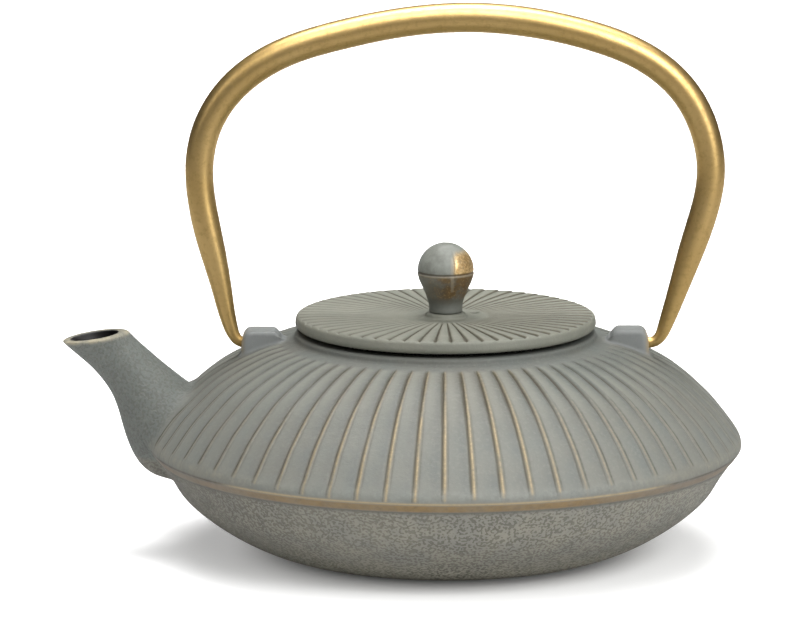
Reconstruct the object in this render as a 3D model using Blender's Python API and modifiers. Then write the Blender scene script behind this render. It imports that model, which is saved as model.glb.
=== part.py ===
"""Cast-iron teapot with a swinging bail handle, a screwed-on lid knob and a
lift-out infuser basket.

Frame: +Z up, origin on the pot's axis at its flat base, spout towards -X,
bail hinged about X.  Lengths are written in millimetres and scaled to metres.
"""
import bpy
import bmesh
import math
from mathutils import Matrix, Vector

MM = 0.001

# ---------------------------------------------------------------- dimensions
BODY_R = 87.0            # widest radius, at the rim
RIM_Z = 31.8             # height of the rim
BASE_R = 40.5            # flat base
NECK_R = 43.9            # outside of the neck ring
NECK_Z = 64.9            # top of the neck ring
MOUTH_R = 35.6           # bore of the mouth
SEAT_R = 38.7            # recess that the infuser collar drops into
SEAT_Z = 63.6
FLOOR_Z = 4.0            # inside floor
BODY_SEGMENTS = 48

EAR_OUT_L, EAR_OUT_R = -60.0, 59.7     # outer faces of the two ears
EAR_IN = 47.0                          # inner ends, sunk in the shoulder
EAR_TOP_L, EAR_TOP_R = 65.6, 66.3
EAR_WIDTH = 10.0
EAR_ROUND = 1.7
PIVOT_Z = 61.6
PIVOT_HOLE_R = 2.3
PIVOT_PIN_R = 1.6
PIVOT_PIN_END = 54.6
PIVOT_HOLE_END = 53.8

GRIP_R = 4.4             # bail tube over the grip
SIDE_R = 4.15            # bail tube down its sides
BAIL_TOP = 157.7         # centreline at the crown

LID_R = 44.1
LID_TOP = 69.6
LID_RIM_BOTTOM = 66.0
LID_SEAT_Z = 64.9        # rests on the infuser collar
LID_SKIRT_R = 33.0
LID_SKIRT_IN = 30.8
LID_SKIRT_Z = 59.6
LID_UNDER_Z = 66.4
BOSS_R = 5.95
BOSS_Z = 70.7
VENT_R = 1.25
VENT_X, VENT_Y = 8.5, 5.9

KNOB_BALL_R = 8.25
KNOB_BALL_Z = 83.0
KNOB_NECK_R = 4.85
KNOB_BOTTOM = 71.0

SCREW_R = 1.95
SCREW_HOLE_R = 2.4
SCREW_HEAD_R = 3.9

COLLAR_R = 38.3          # infuser flange
COLLAR_TOP = 64.5
COLLAR_BOTTOM = 63.9
SLEEVE_OUT, SLEEVE_IN = 35.2, 34.6
SLEEVE_Z = 57.0
BASKET_OUT, BASKET_IN = 34.3, 33.6
BASKET_Z = 17.3
RING_Z = 15.5

# ------------------------------------------------------------------- helpers


def fresh_scene():
    for ob in list(bpy.data.objects):
        bpy.data.objects.remove(ob, do_unlink=True)
    for col in list(bpy.data.collections):
        bpy.data.collections.remove(col)


def new_collection(name):
    col = bpy.data.collections.new(name)
    bpy.context.scene.collection.children.link(col)
    return col


def make_material(name, rgb, roughness, metallic):
    mat = bpy.data.materials.new(name)
    mat.use_nodes = True
    bsdf = mat.node_tree.nodes["Principled BSDF"]
    bsdf.inputs["Base Color"].default_value = (*rgb, 1.0)
    bsdf.inputs["Roughness"].default_value = roughness
    bsdf.inputs["Metallic"].default_value = metallic
    mat.diffuse_color = (*rgb, 1.0)
    return mat


def smooth_path(stations, steps):
    """Catmull-Rom curve through the stations, `steps` points to a span."""
    pts = [Vector(p) for p in stations]
    ext = [pts[0] * 2 - pts[1]] + pts + [pts[-1] * 2 - pts[-2]]
    out = []
    for i in range(1, len(ext) - 2):
        p0, p1, p2, p3 = ext[i - 1:i + 3]
        for k in range(steps):
            t = k / steps
            out.append(0.5 * ((2 * p1) + (p2 - p0) * t
                              + (2 * p0 - 5 * p1 + 4 * p2 - p3) * t * t
                              + (3 * p1 - p0 - 3 * p2 + p3) * t ** 3))
    out.append(pts[-1])
    return out


def arc(cx, cz, r, a0, a1, n):
    """Points on a circular arc in the profile plane, angles in degrees."""
    return [(cx + r * math.cos(math.radians(a0 + (a1 - a0) * i / n)),
             cz + r * math.sin(math.radians(a0 + (a1 - a0) * i / n)))
            for i in range(n + 1)]


def shade(mesh, angle=35.0):
    mesh.shade_smooth()
    mesh.set_sharp_from_angle(angle=math.radians(angle))


def turned(name, profile, col, mat, z0=0.0, segments=40, closed=False,
           parent=None):
    """Solid of revolution; `profile` is (radius, height) in millimetres and
    runs from top to bottom down its outer side."""
    mesh = bpy.data.meshes.new(name)
    verts = [(r * MM, 0.0, (z - z0) * MM) for r, z in profile]
    edges = [(i, i + 1) for i in range(len(verts) - 1)]
    if closed:
        edges.append((len(verts) - 1, 0))
    mesh.from_pydata(verts, edges, [])
    ob = bpy.data.objects.new(name, mesh)
    col.objects.link(ob)
    screw = ob.modifiers.new("Turn", 'SCREW')
    screw.axis = 'Z'
    screw.angle = math.tau
    screw.steps = segments
    screw.render_steps = segments
    screw.use_merge_vertices = True
    screw.merge_threshold = 0.00001
    screw.use_smooth_shade = True
    if mat:
        mesh.materials.append(mat)
    place(ob, z0, parent)
    return ob


def place(ob, z0, parent):
    ob.location = (0.0, 0.0, z0 * MM)
    if parent:
        ob.parent = parent
        ob.location = (0.0, 0.0, z0 * MM - parent.location.z)


def pivot_empty(name, z, col):
    empty = bpy.data.objects.new(name, None)
    empty.empty_display_size = 0.01
    empty.location = (0.0, 0.0, z * MM)
    col.objects.link(empty)
    return empty


def as_helper(ob):
    ob.hide_render = True
    ob.display_type = 'WIRE'
    return ob


def boolean(target, helper, operation):
    mod = target.modifiers.new(operation.title() + "_" + helper.name, 'BOOLEAN')
    mod.operation = operation
    mod.object = helper
    mod.solver = 'EXACT'


def oval_loft(name, sections, sides, col, mat=None):
    """Closed loft through oval sections.  Each section is (low point, high
    point, width): the two ends of the oval in the XZ plane, and its breadth
    along Y."""
    bm = bmesh.new()
    rings = []
    for (lx, lz), (ux, uz), width in sections:
        centre = Vector(((lx + ux) / 2, 0, (lz + uz) / 2))
        half = Vector(((ux - lx) / 2, 0, (uz - lz) / 2))
        ring = []
        for i in range(sides):
            a = math.tau * i / sides
            p = centre + half * math.cos(a) + Vector((0, width / 2, 0)) * math.sin(a)
            ring.append(bm.verts.new(p * MM))
        rings.append(ring)
    for a, b in zip(rings, rings[1:]):
        for i in range(sides):
            j = (i + 1) % sides
            bm.faces.new((a[i], a[j], b[j], b[i]))
    bm.faces.new(rings[0][::-1])
    bm.faces.new(rings[-1])
    bmesh.ops.recalc_face_normals(bm, faces=bm.faces)
    mesh = bpy.data.meshes.new(name)
    bm.to_mesh(mesh)
    bm.free()
    if mat:
        mesh.materials.append(mat)
    ob = bpy.data.objects.new(name, mesh)
    col.objects.link(ob)
    return ob


def lerp(a, b, t):
    return tuple(x + (y - x) * t for x, y in zip(a, b))


# --------------------------------------------------------------------- parts


def body_profile():
    """Outside of the pot from the centre of the mouth down to the base."""
    neck = [(0.0, NECK_Z), (NECK_R - 0.7, NECK_Z), (NECK_R, NECK_Z - 0.6),
            (NECK_R + 0.1, NECK_Z - 1.1)]
    shoulder = smooth_path([(45.3, 62.9), (57.6, 59.3), (69.6, 52.6),
                            (79.9, 42.8), (85.5, 34.8)], 2)
    rim = [(86.8, RIM_Z + 0.9), (BODY_R, RIM_Z), (86.9, RIM_Z - 0.6)]
    bowl = smooth_path([(84.5, 28.7), (78.2, 18.6), (67.5, 9.5),
                        (51.5, 1.7), (BASE_R + 1.4, 0.3)], 2)
    return (neck + [tuple(p) for p in shoulder] + rim
            + [tuple(p) for p in bowl] + [(BASE_R, 0.0), (0.0, 0.0)])


def cavity_profile():
    """Inside of the pot, open through the neck."""
    mouth = [(0.0, NECK_Z + 6), (SEAT_R, NECK_Z + 6), (SEAT_R, SEAT_Z),
             (MOUTH_R, SEAT_Z), (MOUTH_R, 59.4)]
    vault = smooth_path([(37.4, 58.4), (50.5, 57.0), (63.0, 51.4),
                         (74.3, 42.0), (81.6, 33.4)], 2)
    vault.append(Vector((82.7, RIM_Z)))
    sump = smooth_path([(81.6, 29.2), (74.6, 19.9), (62.8, 10.8),
                        (47.0, 5.0), (38.0, FLOOR_Z)], 2)
    return (mouth + [tuple(p) for p in vault] + [tuple(p) for p in sump]
            + [(0.0, FLOOR_Z)])


def spout_sections():
    """Oval sections of the spout from the lip to its root in the wall: low
    end, high end, breadth."""
    keys = [((-112.8, 62.0), (-93.3, 64.9), 17.4),
            ((-108.5, 58.2), (-90.6, 62.1), 16.0),
            ((-104.3, 54.5), (-87.8, 59.6), 16.2),
            ((-100.7, 50.4), (-85.0, 57.1), 17.2),
            ((-98.0, 46.2), (-82.2, 54.7), 19.2),
            ((-96.2, 41.5), (-79.5, 52.5), 22.0),
            ((-94.9, 36.8), (-76.7, 50.3), 25.0),
            ((-93.3, 31.8), (-73.5, 48.0), 27.5),
            ((-90.5, 26.3), (-69.5, 45.0), 29.0),
            ((-85.6, 22.2), (-65.5, 41.0), 29.0),
            ((-78.0, 20.2), (-62.0, 36.0), 26.0)]
    return keys


def bore_sections(wall):
    """The spout's bore: its sections drawn in by the wall thickness, and
    carried on beyond the lip and into the pot."""
    out = []
    for low, high, width in spout_sections():
        length = math.dist(low, high)
        t = wall / length * 1.12
        out.append((lerp(low, high, t), lerp(low, high, 1 - t), width - 2 * wall))
    (lx, lz), (ux, uz), w = out[0]
    beyond = ((lx - 4.0, lz + 3.6), (ux - 2.6, uz + 3.6), w + 1.0)
    out = [beyond] + out[:-1]
    out.append(((-72.0, 24.0), (-60.0, 38.0), 18.0))
    return out


def build_pot(col, cutters, iron):
    body = turned("pot_body", body_profile(), col, iron,
                  segments=BODY_SEGMENTS)
    spout = as_helper(oval_loft("spout_solid", spout_sections(), 20, cutters))
    boolean(body, spout, 'UNION')
    for side, outer, top in (("left", EAR_OUT_L, EAR_TOP_L),
                             ("right", EAR_OUT_R, EAR_TOP_R)):
        sign = math.copysign(1, outer)
        bm = bmesh.new()
        bmesh.ops.create_cube(bm, size=1.0)
        low = 53.0
        length = abs(outer) - EAR_IN
        for v in bm.verts:
            v.co.x = (v.co.x * length + (abs(outer) + EAR_IN) / 2 * sign) * MM
            v.co.y *= EAR_WIDTH * MM
            v.co.z = (v.co.z * (top - low) + (top + low) / 2) * MM
        mesh = bpy.data.meshes.new("ear_" + side)
        bm.to_mesh(mesh)
        bm.free()
        ear = bpy.data.objects.new("ear_" + side, mesh)
        cutters.objects.link(ear)
        bevel = ear.modifiers.new("Round", 'BEVEL')
        bevel.width = EAR_ROUND * MM
        bevel.segments = 2
        as_helper(ear)
        boolean(body, ear, 'UNION')
    cavity = as_helper(turned("pot_cavity", cavity_profile(), cutters, None,
                              segments=BODY_SEGMENTS))
    boolean(body, cavity, 'DIFFERENCE')
    bore = as_helper(oval_loft("spout_bore", bore_sections(2.7), 16, cutters))
    boolean(body, bore, 'DIFFERENCE')
    for side, sign in (("left", -1), ("right", 1)):
        bm = bmesh.new()
        centre = (sign * (PIVOT_HOLE_END + 6.0) * MM, 0.0, PIVOT_Z * MM)
        bmesh.ops.create_cone(bm, cap_ends=True, segments=16,
                              radius1=PIVOT_HOLE_R * MM,
                              radius2=PIVOT_HOLE_R * MM, depth=12.0 * MM,
                              matrix=Matrix.Translation(centre)
                              @ Matrix.Rotation(math.pi / 2, 4, 'Y'))
        mesh = bpy.data.meshes.new("pivot_hole_" + side)
        bm.to_mesh(mesh)
        bm.free()
        hole = bpy.data.objects.new("pivot_hole_" + side, mesh)
        cutters.objects.link(hole)
        as_helper(hole)
        boolean(body, hole, 'DIFFERENCE')
    return body


def bail_stations():
    """Centreline of the bail in the XZ plane.  The arch is drawn by hand and
    leans a little to the right, as a forged handle does."""
    left = [(-PIVOT_PIN_END, PIVOT_Z), (-57.5, PIVOT_Z), (-60.1, 61.7),
            (-61.7, 63.0), (-62.9, 65.6), (-65.6, 77.2), (-68.5, 89.7),
            (-71.0, 101.3), (-72.0, 113.2), (-69.7, 125.1), (-63.2, 135.9),
            (-54.4, 143.4), (-44.3, 148.5), (-31.4, 152.4), (-15.0, 155.9),
            (3.5, BAIL_TOP)]
    right = [(19.3, 157.0), (39.3, 153.2), (50.4, 149.6), (61.2, 143.9),
             (70.1, 135.2), (75.6, 124.1), (77.4, 111.8), (75.4, 100.2),
             (71.8, 88.8), (68.0, 77.2), (64.1, 65.9), (62.7, 63.1),
             (61.0, 61.8), (58.0, PIVOT_Z), (PIVOT_PIN_END, PIVOT_Z)]
    return left + right


def bail_radius(z):
    """Tube radius against height: pin, taper, side, grip."""
    keys = [(PIVOT_Z, PIVOT_PIN_R), (65.5, 2.05), (77.3, 2.95), (88.0, 3.75),
            (98.0, SIDE_R), (136.0, SIDE_R + 0.05), (146.0, GRIP_R)]
    if z <= keys[0][0]:
        return keys[0][1]
    for (z0, r0), (z1, r1) in zip(keys, keys[1:]):
        if z <= z1:
            return r0 + (r1 - r0) * (z - z0) / (z1 - z0)
    return GRIP_R


def build_bail(col, brass):
    path = smooth_path(bail_stations(), 2)
    curve = bpy.data.curves.new("bail_curve", 'CURVE')
    curve.dimensions = '3D'
    curve.bevel_depth = GRIP_R * MM
    curve.bevel_resolution = 4
    curve.use_fill_caps = True
    spline = curve.splines.new('POLY')
    spline.points.add(len(path) - 1)
    for pt, p in zip(spline.points, path):
        pt.co = (p[0] * MM, 0.0, (p[1] - PIVOT_Z) * MM, 1.0)
        pt.radius = bail_radius(p[1]) / GRIP_R
    curve.materials.append(brass)
    ob = bpy.data.objects.new("bail_handle", curve)
    ob.location = (0.0, 0.0, PIVOT_Z * MM)
    col.objects.link(ob)
    return ob


def lid_profile():
    rim_r = (LID_TOP - LID_RIM_BOTTOM) / 2
    rim_z = (LID_TOP + LID_RIM_BOTTOM) / 2
    top = [(SCREW_HOLE_R, BOSS_Z), (BOSS_R - 0.5, BOSS_Z),
           (BOSS_R, BOSS_Z - 0.4), (BOSS_R + 0.1, 69.4),
           (12.0, 69.2), (38.0, 69.3), (40.6, LID_TOP - 0.1)]
    rim = arc(LID_R - rim_r, rim_z, rim_r, 90, -90, 6)
    under = [(38.8, LID_RIM_BOTTOM), (37.8, LID_SEAT_Z),
             (LID_SKIRT_R, LID_SEAT_Z), (LID_SKIRT_R, LID_SKIRT_Z + 0.5),
             (LID_SKIRT_R - 0.5, LID_SKIRT_Z), (LID_SKIRT_IN, LID_SKIRT_Z),
             (LID_SKIRT_IN, LID_UNDER_Z), (SCREW_HOLE_R, LID_UNDER_Z)]
    return top + rim + under


def build_lid(col, cutters, carrier, iron, steel, steel2, knob_iron):
    plate = turned("lid_plate", lid_profile(), col, iron, z0=LID_SEAT_Z,
                   segments=44, closed=True, parent=carrier)
    bm = bmesh.new()
    bmesh.ops.create_cone(bm, cap_ends=True, segments=12,
                          radius1=VENT_R * MM, radius2=VENT_R * MM,
                          depth=12.0 * MM)
    bmesh.ops.translate(bm, verts=bm.verts,
                        vec=(VENT_X * MM, VENT_Y * MM, 68.0 * MM))
    mesh = bpy.data.meshes.new("vent_hole")
    bm.to_mesh(mesh)
    bm.free()
    vent = bpy.data.objects.new("vent_hole", mesh)
    cutters.objects.link(vent)
    as_helper(vent)
    boolean(plate, vent, 'DIFFERENCE')

    ball = arc(0.0, KNOB_BALL_Z, KNOB_BALL_R, 90, -29, 9)
    stem = [(6.5, 77.3), (5.6, 75.2), (5.05, 73.6),
            (KNOB_NECK_R, 72.2), (KNOB_NECK_R, KNOB_BOTTOM)]
    socket = [(SCREW_HOLE_R, KNOB_BOTTOM), (SCREW_HOLE_R, 79.0), (0.0, 79.0)]
    turned("lid_knob", [(0.0, ball[0][1])] + ball[1:] + stem + socket, col,
           knob_iron, z0=KNOB_BOTTOM, segments=24, parent=carrier)

    washer_top = LID_UNDER_Z - 0.3
    turned("knob_washer", [(4.6, washer_top), (4.6, washer_top - 0.8),
                           (SCREW_HOLE_R, washer_top - 0.8),
                           (SCREW_HOLE_R, washer_top)], col, steel,
           z0=washer_top, segments=20, closed=True, parent=carrier)
    head = washer_top - 1.1
    turned("knob_screw", [(0.0, 78.2), (SCREW_R - 0.4, 78.2),
                          (SCREW_R, 77.7), (SCREW_R, head),
                          (SCREW_HEAD_R, head), (SCREW_HEAD_R, head - 1.3),
                          (SCREW_HEAD_R - 0.9, head - 2.1), (0.0, head - 2.5)],
           col, steel2, z0=head, segments=20, parent=carrier)


def build_infuser(col, carrier, mats):
    turned("infuser_collar",
           [(SLEEVE_IN, COLLAR_TOP), (COLLAR_R - 0.2, COLLAR_TOP),
            (COLLAR_R, COLLAR_TOP - 0.2), (COLLAR_R, COLLAR_BOTTOM),
            (SLEEVE_OUT, COLLAR_BOTTOM), (SLEEVE_OUT, SLEEVE_Z),
            (SLEEVE_IN, SLEEVE_Z)], col, mats[0], z0=COLLAR_BOTTOM,
           segments=40, closed=True, parent=carrier)
    turned("infuser_wall",
           [(BASKET_OUT, 63.4), (BASKET_OUT, BASKET_Z),
            (BASKET_IN, BASKET_Z), (BASKET_IN, 63.4)], col, mats[1],
           z0=COLLAR_BOTTOM, segments=40, closed=True, parent=carrier)
    turned("infuser_base_ring",
           [(SLEEVE_IN, 21.5), (SLEEVE_OUT, 21.5), (SLEEVE_OUT, RING_Z + 0.5),
            (SLEEVE_OUT - 0.5, RING_Z), (29.5, RING_Z), (29.5, RING_Z + 0.6),
            (SLEEVE_IN, RING_Z + 0.6)], col, mats[2], z0=COLLAR_BOTTOM,
           segments=40, closed=True, parent=carrier)
    turned("infuser_floor",
           [(0.0, 17.0), (34.0, 17.0), (34.0, 16.4), (0.0, 16.4)], col,
           mats[3], z0=COLLAR_BOTTOM, segments=40, parent=carrier)


def main():
    fresh_scene()
    col = new_collection("teapot_infuser")
    cutters = new_collection("teapot_infuser_cutters")

    iron = make_material("body_iron", (0.23, 0.25, 0.23), 0.62, 0.15)
    lid_iron = make_material("lid_iron", (0.28, 0.30, 0.28), 0.6, 0.15)
    knob_iron = make_material("knob_iron", (0.27, 0.26, 0.22), 0.55, 0.25)
    brass = make_material("bail_gold", (0.44, 0.26, 0.07), 0.38, 1.0)
    screw_steel = make_material("screw_steel", (0.55, 0.55, 0.54), 0.3, 1.0)
    washer_steel = make_material("washer_steel", (0.6, 0.6, 0.6), 0.35, 1.0)
    basket = [make_material("infuser_" + n, (0.62, 0.62, 0.61), r, 1.0)
              for n, r in (("collar", 0.25), ("wall", 0.4), ("ring", 0.3),
                           ("floor", 0.4))]

    build_pot(col, cutters, iron)
    build_bail(col, brass)

    infuser = pivot_empty("infuser_carrier", COLLAR_BOTTOM, col)
    build_infuser(col, infuser, basket)
    lid = pivot_empty("lid_carrier", LID_SEAT_Z, col)
    build_lid(col, cutters, lid, lid_iron, washer_steel, screw_steel,
              knob_iron)


main()
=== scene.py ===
"""Looks of the cast-iron teapot: fine meshes, materials, camera and light."""
import math
import bpy
import numpy as np
from mathutils import Matrix, Vector
from mathutils.bvhtree import BVHTree
from mathutils.geometry import delaunay_2d_cdt


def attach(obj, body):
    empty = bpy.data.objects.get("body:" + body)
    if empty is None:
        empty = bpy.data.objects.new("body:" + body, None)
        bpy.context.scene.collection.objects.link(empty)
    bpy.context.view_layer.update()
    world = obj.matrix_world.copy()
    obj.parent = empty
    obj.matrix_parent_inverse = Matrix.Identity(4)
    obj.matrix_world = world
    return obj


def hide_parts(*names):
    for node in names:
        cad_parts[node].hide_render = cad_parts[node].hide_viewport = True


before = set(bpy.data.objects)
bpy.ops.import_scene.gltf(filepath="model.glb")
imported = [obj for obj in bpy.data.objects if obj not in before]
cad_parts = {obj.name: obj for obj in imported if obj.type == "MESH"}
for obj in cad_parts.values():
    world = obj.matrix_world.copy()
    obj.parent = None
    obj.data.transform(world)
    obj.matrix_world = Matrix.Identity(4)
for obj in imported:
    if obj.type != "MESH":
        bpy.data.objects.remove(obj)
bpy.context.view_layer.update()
scene = bpy.context.scene
MM = 0.001
TAU = math.tau

# ------------------------------------------------------------------ camera
# 2.02 m in front of the pot and 0.41 m above its rim, with a long lens.
PX_PER_MM = 3.398
CAM_BACK, CAM_UP = 2.0247, 0.4134
RIM_Z = 31.8
target = Vector((0.0, 0.0, RIM_Z * MM))
cam_pos = Vector((0.0, -CAM_BACK, RIM_Z * MM + CAM_UP))
reach = (target - cam_pos).length
focal_px = reach * 1000 * PX_PER_MM
cam_data = bpy.data.cameras.new("camera")
cam_data.sensor_width = 36.0
cam_data.lens = focal_px / 792 * 36.0
cam_data.clip_end = 50.0
cam = bpy.data.objects.new("camera", cam_data)
scene.collection.objects.link(cam)
pitch = math.atan2(CAM_UP, CAM_BACK)
look_up = math.atan2(441.5 - 315.0, focal_px)
look_left = math.atan2(446.5 - 396.0, focal_px)
cam.location = cam_pos
cam.rotation_euler = (math.pi / 2 - pitch + look_up, 0.0, look_left)
scene.camera = cam

# ----------------------------------------------------------- curve helpers


def natural_spline(x, y, xq):
    """Natural cubic spline of y(x), read at xq."""
    x, y, xq = (np.asarray(a, float) for a in (x, y, xq))
    n = len(x)
    h = np.diff(x)
    a = np.zeros((n, n))
    b = np.zeros(n)
    a[0, 0] = a[-1, -1] = 1.0
    for i in range(1, n - 1):
        a[i, i - 1], a[i, i], a[i, i + 1] = h[i - 1], 2 * (h[i - 1] + h[i]), h[i]
        b[i] = 6 * ((y[i + 1] - y[i]) / h[i] - (y[i] - y[i - 1]) / h[i - 1])
    m = np.linalg.solve(a, b)
    i = np.clip(np.searchsorted(x, xq) - 1, 0, n - 2)
    t = xq - x[i]
    return (y[i] + t * ((y[i + 1] - y[i]) / h[i] - h[i] * (2 * m[i] + m[i + 1]) / 6)
            + t * t * m[i] / 2 + t ** 3 * (m[i + 1] - m[i]) / (6 * h[i]))


def dense_curve(points, step=0.05):
    """Smooth curve through the points, sampled every `step` millimetres."""
    p = np.asarray(points, float)
    t = np.concatenate([[0], np.cumsum(np.linalg.norm(np.diff(p, axis=0), axis=1))])
    tq = np.linspace(0, t[-1], max(8, int(t[-1] / step)))
    return np.stack([natural_spline(t, p[:, k], tq) for k in range(p.shape[1])], 1)


def smoothstep(a, b, x):
    t = np.clip((x - a) / (b - a), 0, 1)
    return t * t * (3 - 2 * t)


def wave_noise(p, seed, wavelength):
    """Cheap smooth noise of 3-D points, about -1 to 1."""
    rng = np.random.default_rng(seed)
    out = np.zeros(len(p))
    for _ in range(7):
        k = rng.normal(size=3)
        k *= TAU / wavelength / np.linalg.norm(k) * rng.uniform(0.6, 1.5)
        out += np.sin(p @ k + rng.uniform(0, TAU))
    return out / 3.2


# ------------------------------------------------------------ mesh helpers


class Shell:
    """Collects vertices (mm) and faces, then makes a mesh object."""

    def __init__(self):
        self.blocks, self.faces, self.n = [], [], 0
        self.mat = {}

    def add(self, pts):
        pts = np.asarray(pts, float).reshape(-1, 3)
        start = self.n
        self.blocks.append(pts)
        self.n += len(pts)
        return np.arange(start, self.n)

    def grid(self, idx, wrap_u=True, wrap_v=False, flip=False):
        """Quads over an index array [row, column]."""
        a = idx
        if wrap_u:
            a = np.concatenate([a, a[:, :1]], 1)
        if wrap_v:
            a = np.concatenate([a, a[:1]], 0)
        q = np.stack([a[:-1, :-1], a[1:, :-1], a[1:, 1:], a[:-1, 1:]], -1).reshape(-1, 4)
        self.faces.append(q[:, ::-1] if flip else q)

    def fan(self, ring, centre, flip=False):
        c = self.add([centre])[0]
        nxt = np.roll(ring, -1)
        t = np.stack([ring, nxt, np.full(len(ring), c)], -1)
        self.faces.append(t[:, ::-1] if flip else t)

    def mesh(self, name):
        co = np.concatenate(self.blocks) * MM
        loops, starts, at = [], [], 0
        for f in self.faces:
            f = np.asarray(f, np.int32)
            loops.append(f.reshape(-1))
            starts.append(at + np.arange(len(f)) * f.shape[1])
            at += f.size
        loops = np.concatenate(loops).astype(np.int32)
        starts = np.concatenate(starts).astype(np.int32)
        me = bpy.data.meshes.new(name)
        me.vertices.add(len(co))
        me.vertices.foreach_set("co", co.astype(np.float32).ravel())
        me.loops.add(len(loops))
        me.loops.foreach_set("vertex_index", loops)
        me.polygons.add(len(starts))
        me.polygons.foreach_set("loop_start", starts)
        me.update(calc_edges=True)
        if self.mat:
            m = np.concatenate([np.full(len(f), self.mat.get(i, 0), np.int32)
                                for i, f in enumerate(self.faces)])
            me.polygons.foreach_set("material_index", m)
        return me


def new_object(name, me, angle=40.0):
    ob = bpy.data.objects.new(name, me)
    scene.collection.objects.link(ob)
    me.shade_smooth()
    if angle:
        me.set_sharp_from_angle(angle=math.radians(angle))
    return ob


def face_out(me):
    """Turns the mesh's faces outward if its volume comes out negative."""
    import bmesh
    bm = bmesh.new()
    bm.from_mesh(me)
    if bm.calc_volume(signed=True) < 0:
        bmesh.ops.reverse_faces(bm, faces=bm.faces)
        bm.to_mesh(me)
    bm.free()


def cut(ob, cutters):
    """Boolean difference with closed cutters; returns the new mesh."""
    for c in cutters:
        mod = ob.modifiers.new("cut", 'BOOLEAN')
        mod.operation = 'DIFFERENCE'
        mod.object = c
        mod.solver = 'MANIFOLD'
        mod.material_mode = 'TRANSFER'
    bpy.context.view_layer.update()
    dg = bpy.context.evaluated_depsgraph_get()
    me = bpy.data.meshes.new_from_object(ob.evaluated_get(dg))
    name = ob.name
    old = ob.data
    ob.modifiers.clear()
    ob.data = me
    bpy.data.meshes.remove(old)
    me.name = name
    for c in cutters:
        bpy.data.objects.remove(c)
    return me


def co_array(me):
    co = np.zeros(len(me.vertices) * 3, np.float32)
    me.vertices.foreach_get("co", co)
    return co.reshape(-1, 3).astype(float) / MM


def set_attr(me, name, values):
    at = me.attributes.get(name) or me.attributes.new(name, 'FLOAT', 'POINT')
    at.data.foreach_set("value", np.clip(values, 0, 1).astype(np.float32))


def lathe(name, profile, segments, closed=True, angle=40.0, wobble=None):
    """Turned solid. A closed profile makes a ring, an open one ends on the
    axis at both ends. Profile points are (r, z) in mm."""
    p = np.asarray(profile, float)
    th = np.arange(segments) * TAU / segments
    sh = Shell()
    body = p if closed else p[1:-1]
    ring = np.stack([body[:, None, 0] * np.cos(th), body[:, None, 0] * np.sin(th),
                     np.repeat(body[:, 1:2], segments, 1)], -1)
    idx = sh.add(ring).reshape(len(body), segments)
    sh.grid(idx, wrap_v=closed)
    if not closed:
        sh.fan(idx[0], (0, 0, p[0, 1]))
        sh.fan(idx[-1], (0, 0, p[-1, 1]), flip=True)
    me = sh.mesh(name)
    face_out(me)
    return new_object(name, me, angle)


# ================================================================ materials


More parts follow.
